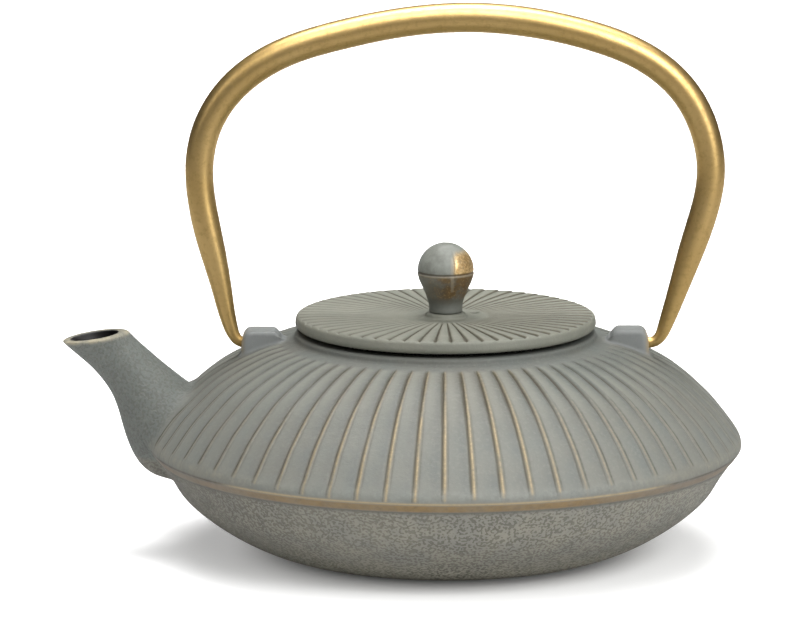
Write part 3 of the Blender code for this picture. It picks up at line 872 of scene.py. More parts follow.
LIP_T, LIP_H = 0.16, 0.9
rows = []
n_rows = 92
for i in range(n_rows + 1):
    a = i / n_rows
    t = t_join + (LIP_T - t_join) * a
    p = spout_surface(SPOUT_KEYS, t, sp_phi)
    d, nbod = body_distance(p)
    p = p + blend_push(d, spout_normal(t, sp_phi), nbod, spout_fillet(p))
    rows.append(p)
outer_lip = spout_surface(SPOUT_KEYS, np.full(N_SP, LIP_T), sp_phi)
inner_lip = spout_surface(INNER_KEYS, np.full(N_SP, LIP_T), sp_phi)
axis_up = outer_lip.mean(0) - spout_surface(SPOUT_KEYS, np.full(N_SP, 0.9), sp_phi).mean(0)
axis_up /= np.linalg.norm(axis_up)
mid_lip = (outer_lip + inner_lip) / 2
for a in np.linspace(0, math.pi, 15)[1:]:
    ca = math.copysign(abs(math.cos(a)) ** 0.8, math.cos(a))
    rows.append(mid_lip + (outer_lip - mid_lip) * ca
                + axis_up * (LIP_H * math.sin(a) ** 0.8))
for t in np.linspace(LIP_T, 9.6, 60)[1:]:
    rows.append(spout_surface(INNER_KEYS, np.full(N_SP, t), sp_phi))
sp_idx = pot.add(np.stack(rows)).reshape(len(rows), N_SP)
strip = open_and_stitch(SP_TH, v_of(jr, join_pts[:, 2]), sp_idx[0], 82.0, 0.45)
pot.faces.append(strip)
pot.grid(sp_idx[:n_rows + 11])
pot.mat[len(pot.faces)] = 1
pot.grid(sp_idx[n_rows + 10:])
pot.mat[len(pot.faces)] = 1
pot.fan(sp_idx[-1], rows[-1].mean(0))

# ears
ear_index = {}
for side, ear in EARS.items():
    ring0 = ear_ring(ear, 0.0)
    r = np.hypot(ring0[:, 0], ring0[:, 1])
    zb = shoulder_z(r)
    foot = np.stack([ring0[:, 0], ring0[:, 1], zb], 1)
    rows = []
    top, rho = ear["top"], 1.2
    hz = top - rho
    sgn = np.sign(ear["x0"])
    outer, inner_x = (ear["x0"], ear["x1"]) if sgn < 0 else (ear["x1"], ear["x0"])
    outer, inner_x = abs(outer), abs(inner_x)

    def lowered(p):
        """Rounds the top of the block off towards both of its ends."""
        x = np.abs(p[:, 0])
        a1 = np.clip(x - (outer - 2.6), 0, 2.45) / 2.6
        a2 = np.clip((inner_x + 3.2) - x, 0, 3.0) / 3.2
        drop = 2.3 * (1 - np.sqrt(1 - a1 * a1)) / 0.67 + 2.1 * (1 - np.sqrt(1 - a2 * a2)) / 0.65
        zb_ = shoulder_z(np.hypot(p[:, 0], p[:, 1]))
        s_ = 1 - drop / (top - zb_)
        out_ = p.copy()
        out_[:, 2] = zb_ + (p[:, 2] - zb_) * s_
        up = np.clip((p[:, 2] - zb_) / (top - zb_), 0, 1)
        out_[:, 0] += sgn * 0.6 * up * (1 - smoothstep(inner_x, inner_x + 6.0, x))
        return out_

    for i in range(19):
        a = (i / 18) ** 1.5
        p = foot.copy()
        p[:, 2] = zb + (hz - zb) * a
        p = lowered(p)
        d, nbod = body_distance(p)
        _, own = ear_distance(ear, p)
        p = p + blend_push(d, own, nbod, EAR_K)
        p[:, 0] -= sgn * 0.25 * smoothstep(0, 1, (p[:, 2] - 60.0) / 6.0) * smoothstep(50, 59, np.abs(p[:, 0]))
        rows.append(p)
    last = rows[-1]
    for a in np.linspace(0, math.pi / 2, 7)[1:]:
        inset = rho * (1 - math.cos(a))
        q = ear_ring(ear, inset)
        q3 = np.stack([q[:, 0], q[:, 1], np.full(N_EAR, hz + rho * math.sin(a))], 1)
        q3 = lowered(q3)
        q3[:, 0] += last[:, 0] - ring0[:, 0]
        rows.append(q3)
    rim_ring = rows[-1]
    c = rim_ring.mean(0)
    for s in (0.8, 0.6, 0.4, 0.2):
        p = ear_ring(ear, rho) * 1.0
        pc = np.array([p[:, 0].mean(), 0.0])
        p = pc + (p - pc) * s
        q3 = lowered(np.column_stack([p, np.full(N_EAR, top)]))
        q3[:, 0] += (last[:, 0] - ring0[:, 0]) * s
        rows.append(q3)
    c = rows[-1].mean(0)
    e_idx = pot.add(np.stack(rows)).reshape(len(rows), N_EAR)
    th = np.arctan2(foot[:, 1], foot[:, 0])
    tri = open_and_stitch(th, v_of(r, zb), e_idx[0], 53.0, 0.25)
    pot.faces.append(tri)
    pot.grid(e_idx)
    pot.fan(e_idx[-1], (c[0], c[1], c[2]))

a = np.concatenate([main_idx, main_idx[:, :1]], 1)
q = np.stack([a[:-1, :-1], a[1:, :-1], a[1:, 1:], a[:-1, 1:]], -1)
pot.faces.append(q[quads_alive])
pot.fan(main_idx[0], (0, 0, 64.9))
pot.fan(main_idx[-1], (0, 0, 0.0), flip=True)
pot_me = pot.mesh("pot_body_skin")

import bmesh
bm = bmesh.new()
bm.from_mesh(pot_me)
bmesh.ops.recalc_face_normals(bm, faces=bm.faces)
if bm.calc_volume(signed=True) < 0:
    bmesh.ops.reverse_faces(bm, faces=bm.faces)
open_edges = sum(1 for e in bm.edges if len(e.link_faces) != 2)
print("POT open edges", open_edges, "faces", len(bm.faces), "volume ml", bm.calc_volume() * 1e6)
bm.to_mesh(pot_me)
bm.free()
pot_ob = new_object("pot_body_skin", pot_me, None)
pot_me.materials.append(pot_mat)
pot_me.materials.append(lining)

CAVITY = np.concatenate([
    np.array([(0.0, 71.0), (38.7, 71.0), (38.7, 63.95), (38.35, 63.6), (36.1, 63.6), (35.6, 63.1)]),
    np.array([(35.6, 61.0)]),
    dense_curve([(35.6, 60.0), (36.2, 59.0), (38.2, 58.4), (50.5, 57.0), (57.0, 54.7),
                 (63.0, 51.4), (69.0, 47.1), (74.3, 42.0), (79.0, 36.8), (81.6, 33.4),
                 (82.6, 31.0), (81.6, 28.6), (78.6, 24.6), (74.6, 19.9), (69.6, 15.3),
                 (62.8, 10.9), (55.0, 7.4), (47.0, 5.0), (38.0, 4.0)], 1.6),
    np.array([(24.0, 4.0), (10.0, 4.0), (0.0, 4.0)])])
cavity = lathe("cavity", CAVITY, 192, closed=False)
cavity.data.materials.append(lining)
pins = []
for sx in (-1, 1):
    prof = [(0.0, 13.0), (3.4, 13.0), (3.4, 6.9), (2.65, 6.2), (2.15, 5.75), (2.05, 5.4),
            (2.05, 0.6), (1.6, 0.0), (0.0, 0.0)]
    pin = lathe("pin_hole", prof, 48, closed=False)
    pin.data.materials.append(pot_mat)
    pin.rotation_euler = (0, sx * math.pi / 2, 0)
    pin.location = (sx * 53.8 * MM, 0, 61.6 * MM)
    pins.append(pin)
bpy.context.view_layer.update()
pot_me = cut(pot_ob, [cavity] + pins)
pot_me.shade_smooth()
pot_me.set_sharp_from_angle(angle=math.radians(52))
print("POT after cut", len(pot_me.polygons))
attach(pot_ob, "pot")
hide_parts("pot_body")

# ---- masks on the body
co = co_array(pot_me)
rr = np.hypot(co[:, 0], co[:, 1])
th = np.arctan2(co[:, 1], co[:, 0])
zz = co[:, 2]
body_d, _ = body_distance(co)
sp_d = np.full(len(co), 50.0)
ii = np.where((co[:, 0] < -60) & (np.abs(co[:, 1]) < 26) & (zz > 12) & (body_d > -1.5))[0]
sp_d[ii] = spout_distance(co[ii], 12.0)[0]
sp_d = np.minimum(sp_d, 50.0)
on_cone = (rr > 47) & (zz > 31.0) & (body_d > -1.2) & (body_d < 0.3)
in_ear = np.zeros(len(co))
for ear in EARS.values():
    same = np.sign(co[:, 0]) == np.sign(ear["x0"])
    d, _ = ear_distance(ear, co)
    in_ear = np.where(same & (zz > 55) & (d < 1.6) & (rr < 66),
                      1 - smoothstep(0.9, 1.6, d), in_ear)
rib_on = smoothstep(47.6, 50.0, rr) * smoothstep(31.45, 31.8, zz) \
    * np.where(on_cone, 1.0, 0.0) * smoothstep(0.6, 4.0, np.abs(sp_d)) * (1 - in_ear)


def rib_masks(me, phase, pitch_mm, on, inner, az, rub):
    """Painted shade in the crease line and in a line past the crest, worn gold
    crest and painted light on the start of the land, as shares per point."""
    e = phase * pitch_mm                     # mm past the crest
    right = smoothstep(0.18, 0.62, az)
    crease_at = -0.128 * pitch_mm
    left_side = smoothstep(0.15, 0.75, -az)
    broad = 0.24 + 0.26 * inner + 0.16 * left_side
    left = np.exp(-((e - crease_at) / broad) ** 2)
    beyond = np.exp(-((e - 0.092 * pitch_mm) / 0.29) ** 2)
    # painted shade in the crease, stronger on the left and weaker on the right, where the key light reaches
    set_attr(me, "rib_crease_painted_shade", on * left * (0.74 + 0.2 * inner + 0.26 * left_side * (1 - inner)
                                            - 0.42 * right * (1 - inner)))
    # painted shade past the crest, strongest on the right, on the side turned from the light
    set_attr(me, "rib_beyond_painted_shade", on * beyond * (1 - inner) * (0.28 + 0.72 * right + 0.25 * smoothstep(0.7, 1.1, az)))
    set_attr(me, "rib_gold", on * rub * np.exp(-((e + 0.08) / (0.37 - 0.08 * right)) ** 2) * (1 - 0.4 * inner))
    halo = np.exp(-((e + 0.30) / 0.78) ** 2)
    set_attr(me, "rib_halo", on * rub * halo * (1 - 0.35 * inner) * (1 - 0.55 * right))
    q = phase * pitch_mm
    # painted light on the start of each land, just past the crest
    land_light = smoothstep(0.1, 0.9, q) * (1 - smoothstep(0.25, 0.80, phase))
    set_attr(me, "rib_land_painted_light", on * land_light * (0.45 + 0.45 * inner))


p = ((th + math.pi / 2) * RIBS / TAU - RIB_PHASE + 0.36) % 1.0 - 0.36
az = np.angle(np.exp(1j * (th + math.pi / 2)))
inner_share = 1 - smoothstep(60.0, 76.0, rr)
rub = 0.16 + 0.84 * np.exp(-(np.abs(az) / math.radians(36)) ** 2)
rub *= 1 - inner_share * (0.25 + 0.7 * smoothstep(0.25, 0.75, np.abs(az)))
rib_no = np.floor((th + math.pi / 2) * RIBS / TAU - RIB_PHASE + 0.36)
stop_z = 31.5 + 2.0 * (0.5 + 0.5 * np.sin(rib_no * 12.9898)) \
    + 2.6 * smoothstep(0.40, 1.0, az) + 1.4 * smoothstep(0.45, 1.1, -az)
rib_on = rib_on * (0.12 + 0.88 * smoothstep(-0.25, 0.45, zz - stop_z))
rib_on = rib_on * (1 - 0.5 * smoothstep(0.45, 0.95, az) * (1 - smoothstep(50.0, 63.0, rr)))
rib_masks(pot_me, p, TAU * rr / RIBS, rib_on, inner_share, az, rub)
away = smoothstep(0.2, 1.6, np.abs(sp_d))
edge_v = np.exp(-(((rr - 86.95) / 0.42) ** 2 + ((zz - 31.25) / 0.30) ** 2))
# mask of painted light on the rounded nose above the rim edge
rim_light_paint = np.exp(-(np.hypot(rr - 86.6, zz - 33.2) / 1.7) ** 2) * (zz > 31.2)
band = smoothstep(28.3, 28.9, zz) * (1 - smoothstep(30.7, 31.1, zz)) * (rr > 84.0)
# mask of painted shade in the crease under the band
crease = np.exp(-(np.hypot(rr - 84.3, zz - 28.4) / 0.42) ** 2)
set_attr(pot_me, "rim_edge", edge_v * away)
set_attr(pot_me, "rim_painted_light", rim_light_paint * away)
set_attr(pot_me, "rim_band", band * away)
set_attr(pot_me, "rim_crease_painted_shade", crease * away)
lip_c = outer_lip.mean(0)
u1 = outer_lip[0] - outer_lip[N_SP // 2]
plane_n = np.cross(np.array([0, 1.0, 0]), u1)
plane_n /= np.linalg.norm(plane_n)
if plane_n[2] < 0:
    plane_n = -plane_n
lip_h = (co - lip_c) @ plane_n
set_attr(pot_me, "lip", smoothstep(-0.75, 0.45, lip_h) * (co[:, 0] < -86) * (zz > 55))
set_attr(pot_me, "spout", np.where(np.abs(sp_d) < 3.0, 1 - smoothstep(0.3, 3.0, np.abs(sp_d)), 0.0)
         * (co[:, 0] < -60) * (body_d > -0.5))
ear_end = np.zeros(len(co))
for ear in EARS.values():
    far_x = ear["x0"] if ear["x0"] < 0 else ear["x1"]
    ear_end = np.maximum(ear_end, np.exp(-((co[:, 0] - far_x) / 0.8) ** 2) * in_ear * smoothstep(58.0, 61.0, zz))
set_attr(pot_me, "ear", ear_end)
ear_block = np.zeros(len(co))
for ear in EARS.values():
    same = np.sign(co[:, 0]) == np.sign(ear["x0"])
    d, _ = ear_distance(ear, co)
    ear_block = np.maximum(ear_block, np.where(same & (zz > 55) & (rr < 66), 1 - smoothstep(0.15, 0.7, d), 0.0))
set_attr(pot_me, "ear_block", ear_block)
# mask of painted shade: the shoulder darkens towards the neck
set_attr(pot_me, "neck_painted_shade", (1 - smoothstep(50.0, 84.0, rr)) * (0.62 + 0.38 * smoothstep(48.0, 53.0, rr))
         * (zz > 33) * (1 - in_ear))
set_attr(pot_me, "below_rim", 1 - smoothstep(27.6, 28.6, zz))
# near the foot: painted bounce light in the colour, and deeper worm marks
set_attr(pot_me, "foot", 1 - smoothstep(0.5, 12.0, zz))
# mask of painted shade, rising towards the spout side
set_attr(pot_me, "spout_side_painted_shade", 1 - smoothstep(-84.0, -15.0, co[:, 0]))
set_attr(pot_me, "front_share", 0.5 + 0.5 * np.cos(az))


# ================================================================ bail
PIVOT_Z = 61.6
BAIL = dense_curve([
    (-54.6, 61.6), (-57.5, 61.6), (-60.1, 61.7), (-61.7, 63.0), (-62.9, 65.6),
    (-65.6, 77.2), (-68.5, 89.7), (-71.0, 101.3), (-72.0, 113.2), (-69.7, 125.1),
    (-63.2, 135.9), (-54.4, 143.4), (-44.3, 148.5), (-31.4, 152.4), (-15.0, 155.9),
    (3.5, 157.68), (19.3, 157.0), (39.3, 153.2), (50.4, 149.6), (61.2, 143.9),
    (70.1, 135.2), (75.6, 124.1), (77.4, 111.8), (75.4, 100.2), (71.8, 88.8),
    (68.0, 77.2), (64.1, 65.9), (62.7, 63.1), (61.0, 61.8), (58.0, 61.6),
    (54.6, 61.6)], 0.1)


def bail_radius(z):
    return np.interp(z, [61.6, 63.0, 65.5, 71.0, 77.3, 83.0, 88.0, 93.0, 98.0, 120.0, 136.0, 146.0, 160.0],
                     [1.6, 1.72, 2.05, 2.5, 2.95, 3.4, 3.75, 4.0, 4.12, 4.19, 4.3, 4.36, 4.36])


def build_bail():
    t = np.concatenate([[0], np.cumsum(np.linalg.norm(np.diff(BAIL, axis=0), axis=1))])
    tq = np.concatenate([np.linspace(0, 14, 60)[:-1], np.linspace(14, t[-1] - 14, 230)[:-1],
                         np.linspace(t[-1] - 14, t[-1], 60)])
    c = np.stack([np.interp(tq, t, BAIL[:, k]) for k in (0, 1)], 1)
    d = np.gradient(BAIL, axis=0)
    d = np.stack([np.interp(tq, t, d[:, k]) for k in (0, 1)], 1)
    d /= np.linalg.norm(d, axis=1)[:, None]
    n = np.stack([-d[:, 1], d[:, 0]], 1)
    r = bail_radius(c[:, 1])
    ends = np.minimum(tq, t[-1] - tq)
    r = r * np.sqrt(np.clip(1 - (1 - np.clip(ends / 0.9, 0, 1)) ** 2 * 0.55, 0, 1))
    m = 48
    a = np.arange(m) * TAU / m
    pts = np.zeros((len(tq), m, 3))
    pts[..., 0] = c[:, None, 0] + n[:, None, 0] * r[:, None] * np.cos(a)
    pts[..., 1] = r[:, None] * np.sin(a)
    pts[..., 2] = c[:, None, 1] + n[:, None, 1] * r[:, None] * np.cos(a)
    # the tube was drawn and bent by hand: very slight flats and swells
    flat = pts.reshape(-1, 3)
    w = wave_noise(flat, 11, 26.0) * 0.035
    off = (flat - np.repeat(np.stack([c[:, 0], np.zeros(len(c)), c[:, 1]], 1), m, 0))
    off /= np.linalg.norm(off, axis=1)[:, None]
    flat = flat + off * (w * np.repeat(smoothstep(3, 20, ends), m))[:, None]
    sh = Shell()
    idx = sh.add(flat).reshape(len(tq), m)
    sh.grid(idx)
    sh.fan(idx[0], (c[0, 0], 0, c[0, 1]), flip=True)
    sh.fan(idx[-1], (c[-1, 0], 0, c[-1, 1]))
    me = sh.mesh("bail_tube")
    face_out(me)
    ob = new_object("bail_tube", me, 50)
    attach(ob, "bail")
    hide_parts("bail_handle")
    return ob


bail_ob = build_bail()

# ================================================================ lid
LID_RIBS = 60
LID_PHASE = 0.47
LID_COLUMNS = np.array([0.0, 0.05, 0.14, 0.28, 0.42, 0.56, 0.68, 0.76, 0.80, 0.835, 0.87,
                        0.905, 0.94, 0.97])


def build_lid():
    top = np.concatenate([
        np.array([(2.3, 70.55), (4.2, 70.6)]),
        dense_curve([(4.9, 70.6), (5.5, 70.5), (5.85, 70.15), (6.0, 69.7), (6.35, 69.35), (7.2, 69.2),
                     (9.0, 69.2), (11.0, 69.4), (14.0, 69.62)], 0.25),
        dense_curve([(14.0, 69.62), (24.0, 69.98), (33.0, 70.1), (39.0, 70.12), (42.3, 70.05)], 0.8)[1:],
        dense_curve([(42.3, 70.05), (43.0, 69.94), (43.5, 69.68), (43.83, 69.25), (43.98, 68.7)], 0.22)[1:]])
    rim = list(dense_curve([(44.06, 68.2), (44.1, 67.6), (43.98, 67.0), (43.6, 66.5), (42.9, 66.15), (42.1, 66.05)], 0.25))
    under = [(41.5, 66.02), (40.0, 66.0), (38.9, 66.0), (38.3, 65.6), (38.0, 65.1), (37.6, 64.9),
             (35.5, 64.9), (33.4, 64.9), (33.1, 64.6), (33.0, 64.0), (33.0, 60.4), (32.85, 59.9),
             (32.4, 59.6), (31.4, 59.6), (30.95, 59.9), (30.8, 60.4), (30.8, 65.0), (30.4, 65.9),
             (29.5, 66.3), (26.0, 66.4), (20.0, 66.4), (12.0, 66.4), (6.0, 66.4), (2.6, 66.4),
             (2.3, 66.7), (2.3, 68.0), (2.3, 69.5)]
    prof = np.concatenate([top, rim, under])
    cols = np.sort(np.mod(((np.arange(LID_RIBS)[:, None] + LID_COLUMNS[None] + LID_PHASE)
                           / LID_RIBS * TAU).ravel() - math.pi / 2, TAU))
    th, r = np.meshgrid(cols, prof[:, 0])
    z = np.repeat(prof[:, 1:2], len(cols), 1)
    n_top = len(top)
    is_top = np.zeros(len(prof), bool)
    is_top[:n_top] = True
    is_top = np.repeat(is_top[:, None], len(cols), 1)
    ph = ((th + math.pi / 2) * LID_RIBS / TAU - LID_PHASE) % 1.0
    saw = (0.14 * np.clip(ph / 0.84, 0, 1) * (1 - smoothstep(0.88, 0.985, ph))
           + 0.62 * np.exp(-(np.abs(ph - 0.868) / (0.066 + 0.03 * smoothstep(36, 41.5, r))) ** 2))
    tall = (0.30 + 0.42 * smoothstep(12, 38, r)) * smoothstep(11.4, 13.2, r) * (1 - smoothstep(42.7, 43.8, r))
    z = z - np.where(is_top, saw * tall, 0)
    pts = np.stack([r * np.cos(th), r * np.sin(th), z], -1)
    sh = Shell()
    idx = sh.add(pts).reshape(len(prof), len(cols))
    sh.grid(idx, wrap_v=True)
    me = sh.mesh("lid_casting")
    face_out(me)
    ob = new_object("lid_casting", me, None)
    me.materials.append(lid_mat)
    me.materials.append(lining)
    vent = lathe("vent", [(0.0, 74.0), (2.2, 74.0), (2.2, 70.3), (1.45, 69.25), (1.2, 68.9), (1.2, 64.0), (0.0, 64.0)],
                 32, closed=False)
    vent.data.materials.append(lid_mat)
    vent.location = (8.5 * MM, 5.9 * MM, 0)
    bpy.context.view_layer.update()
    me = cut(ob, [vent])
    me.shade_smooth()
    me.set_sharp_from_angle(angle=math.radians(55))
    co = co_array(me)
    rr = np.hypot(co[:, 0], co[:, 1])
    th = np.arctan2(co[:, 1], co[:, 0])
    p = ((th + math.pi / 2) * LID_RIBS / TAU - LID_PHASE + 0.42) % 1.0 - 0.42
    pitch = TAU * rr / LID_RIBS
    on = smoothstep(11.6, 13.6, rr) * (1 - smoothstep(42.6, 43.3, rr)) * (co[:, 2] > 68.3)
    e = p * pitch
    half = 0.19 + 0.013 * (rr - 12) + 0.22 * smoothstep(39.0, 42.0, rr)
    # painted shade in the lid's rib creases
    set_attr(me, "rib_crease_painted_shade", on * np.exp(-((e + 0.13 * pitch) / half) ** 2))
    set_attr(me, "rib_beyond_painted_shade", on * 0)
    set_attr(me, "rib_gold", on * 0.08 * np.exp(-(e / 0.34) ** 2))
    set_attr(me, "rib_halo", on * 0.08 * np.exp(-((e + 0.2) / 0.5) ** 2))
    # painted light on the start of each lid land
    set_attr(me, "rib_land_painted_light", on * smoothstep(0.0, 0.5, e) * (1 - smoothstep(0.3, 0.58, p)) * 0.9)
    # a faint painted shade round the lid's edge, through the rim edge mix
    set_attr(me, "rim_edge", np.exp(-((rr - 43.6) / 0.7) ** 2) * (co[:, 2] > 67.2) * 0.10)
    for nm in ("rim_band", "rim_crease_painted_shade", "rim_painted_light", "lip", "ear", "spout", "below_rim",
               "ear_block", "neck_painted_shade", "foot", "spout_side_painted_shade"):
        set_attr(me, nm, np.zeros(len(co)))
    set_attr(me, "front_share", np.full(len(co), 0.6))
    n = len(me.polygons)
    c = np.zeros(n * 3, np.float32)
    me.polygons.foreach_get("center", c)
    c = c.reshape(-1, 3) / MM
    cr = np.hypot(c[:, 0], c[:, 1])
    me.polygons.foreach_set("material_index", ((c[:, 2] < 66.6) & (cr < 38.2)).astype(np.int32))
    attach(ob, "lid")
    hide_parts("lid_plate")
    return ob


lid_ob = build_lid()


def build_knob():
    cz, R = 83.0, 8.25
    a = np.radians(np.linspace(90, -27, 64))
    ball = np.stack([R * np.cos(a), cz + R * np.sin(a)], 1)
    stem = dense_curve([tuple(ball[-1]), (6.55, 77.5), (5.75, 75.6), (5.15, 73.9), (4.88, 72.4), (4.86, 71.2)], 0.25)[1:]
    foot = [(4.8, 70.85), (4.6, 70.7), (2.4, 70.7), (2.4, 78.8), (0.0, 79.2)]
    prof = np.concatenate([ball, stem, foot])
    seg = 192
    th = np.arange(seg) * TAU / seg
    body = prof[1:-1]
    r = np.repeat(body[:, :1], seg, 1)
    z = np.repeat(body[:, 1:2], seg, 1)
    phi = (np.repeat(th[None], len(body), 0) + math.pi / 2)
    on_ball = (z > 76.5) & (r > 3)
    # a crease just under the ball's widest line, and an upright seam
    dz = z - 82.55
    crease = -0.16 * np.exp(-((dz - 0.12) / 0.20) ** 2) + 0.13 * np.exp(-((dz + 0.42) / 0.26) ** 2)
    dphi = (np.angle(np.exp(1j * (phi - math.radians(15.5)))) * r)
    dback = (np.angle(np.exp(1j * (phi - math.radians(195.5)))) * r)
    seam = (0.14 * np.exp(-(dphi / 0.34) ** 2) - 0.08 * np.exp(-((dphi - 0.8) / 0.3) ** 2)
            + 0.10 * np.exp(-(dback / 0.34) ** 2)) * smoothstep(77.2, 78.6, z) * (1 - smoothstep(88.6, 90.4, z))
    push = np.where(on_ball, crease + seam, 0)
    ux = np.stack([r, z - cz], -1)
    ln = np.maximum(np.linalg.norm(ux, axis=-1), 1e-6)
    r2 = r + push * ux[..., 0] / ln
    z2 = z + push * ux[..., 1] / ln
    pts = np.stack([r2 * np.cos(th), r2 * np.sin(th), z2], -1)
    sh = Shell()
    idx = sh.add(pts).reshape(len(body), seg)
    sh.grid(idx)
    sh.fan(idx[0], (0, 0, prof[0, 1]))
    sh.fan(idx[-1], (0, 0, prof[-1, 1]), flip=True)
    me = sh.mesh("knob_casting")
    face_out(me)
    ob = new_object("knob_casting", me, 50)
    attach(ob, "lid")
    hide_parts("lid_knob")
    return ob


knob_ob = build_knob()


def build_fasteners():
    t = 66.1
    washer = lathe("washer_disc", [(4.45, t), (4.6, t - 0.12), (4.6, t - 0.68), (4.45, t - 0.8), (2.5, t - 0.8),
                                   (2.4, t - 0.7), (2.4, t - 0.1), (2.5, t)], 64)
    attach(washer, "lid")
    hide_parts("knob_washer")
    head = t - 1.1
    prof = [(0.0, 78.2), (1.5, 78.2), (1.95, 77.75)]
    z = 77.6
    while z > head + 1.2:
        prof += [(1.95, z), (1.68, z - 0.35)]
        z -= 0.7
    prof += [(1.95, head + 0.3), (1.95, head), (3.55, head), (3.85, head - 0.25), (3.9, head - 0.7)]
    prof += [(3.9 * math.cos(a), head - 0.7 - 1.8 * math.sin(a)) for a in np.linspace(0.15, 1.45, 9)]
    prof += [(0.0, head - 2.5)]
    screw = lathe("screw_pan_head", prof, 64, closed=False)
    bars = []
    for k in range(2):
        me = bpy.data.meshes.new("bar")
        b = bmesh.new()
        bmesh.ops.create_cube(b, size=1.0)
        for v in b.verts:
            wide = 0.55 if v.co.z < 0 else 0.40
            v.co = Vector((v.co.x * (4.6 if v.co.z < 0 else 2.6), v.co.y * wide * 2, v.co.z * 2.6 + head - 2.6)) * MM
        bmesh.ops.rotate(b, verts=b.verts, matrix=Matrix.Rotation(k * math.pi / 2 + 0.4, 3, 'Z'))
        b.to_mesh(me)
        b.free()
        o = bpy.data.objects.new("bar%d" % k, me)
        scene.collection.objects.link(o)
        bars.append(o)
    bpy.context.view_layer.update()
    me = cut(screw, bars)
    me.shade_smooth()
    me.set_sharp_from_angle(angle=math.radians(35))
    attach(screw, "lid")
    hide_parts("knob_screw")
    return washer, screw


washer_ob, screw_ob = build_fasteners()

# ================================================================ infuser


def perforated_tube(name, r_out, thick, z0, z1, nu, nv, hole):
    """Thin tube with round holes in a square pattern."""
    sh = Shell()
    du, dv = TAU / nu, (z1 - z0) / nv
    th = np.arange(nu) * du
    zz = z0 + np.arange(nv + 1) * dv
    oct_a = np.radians(22.5 + 45 * np.arange(8))
    hu = hole / 2 / r_out
    sides = []
    for r in (r_out, r_out - thick):
        T, Z = np.meshgrid(th, zz)
        corner = sh.add(np.stack([r * np.cos(T), r * np.sin(T), Z], -1)).reshape(nv + 1, nu)
        tc = th + du / 2
        zc = zz[:-1] + dv / 2
        T2, Z2 = np.meshgrid(tc, zc)
        T3 = T2[..., None] + hu * np.cos(oct_a)
        Z3 = Z2[..., None] + hole / 2 * np.sin(oct_a)
        ring = sh.add(np.stack([r * np.cos(T3), r * np.sin(T3), Z3], -1)).reshape(nv, nu, 8)
        sides.append((corner, ring))
    for (corner, ring), flip in zip(sides, (False, True)):
        c00 = corner[:-1]
        c10 = np.roll(corner, -1, 1)[:-1]
        c11 = np.roll(corner, -1, 1)[1:]
        c01 = corner[1:]
        cs = [c11, c01, c00, c10]        # at 45, 135, 225, 315 degrees
        tri, quad = [], []
        for k in range(4):
            a, b = ring[..., 2 * k], ring[..., (2 * k + 1) % 8]
            nxt = ring[..., (2 * k + 2) % 8]
            tri.append(np.stack([cs[k], b, a], -1).reshape(-1, 3))
            quad.append(np.stack([cs[k], cs[(k + 1) % 4], nxt, b], -1).reshape(-1, 4))
        t, q = np.concatenate(tri), np.concatenate(quad)
        sh.faces.append(t[:, ::-1] if flip else t)
        sh.faces.append(q[:, ::-1] if flip else q)
    ro, ri = sides[0][1], sides[1][1]
    for k in range(8):
        a, b = k, (k + 1) % 8
        sh.faces.append(np.stack([ro[..., a], ro[..., b], ri[..., b], ri[..., a]], -1).reshape(-1, 4))
    co_, ci = sides[0][0], sides[1][0]
    for row, flip in ((0, True), (nv, False)):
        a, b = co_[row], np.roll(co_[row], -1)
        c, d = ci[row], np.roll(ci[row], -1)
        f = np.stack([a, b, d, c], -1)
        sh.faces.append(f[:, ::-1] if flip else f)
    me = sh.mesh(name)
    b = bmesh.new()
    b.from_mesh(me)
    bmesh.ops.recalc_face_normals(b, faces=b.faces)
    b.to_mesh(me)
    b.free()
    face_out(me)
    return new_object(name, me, 40)


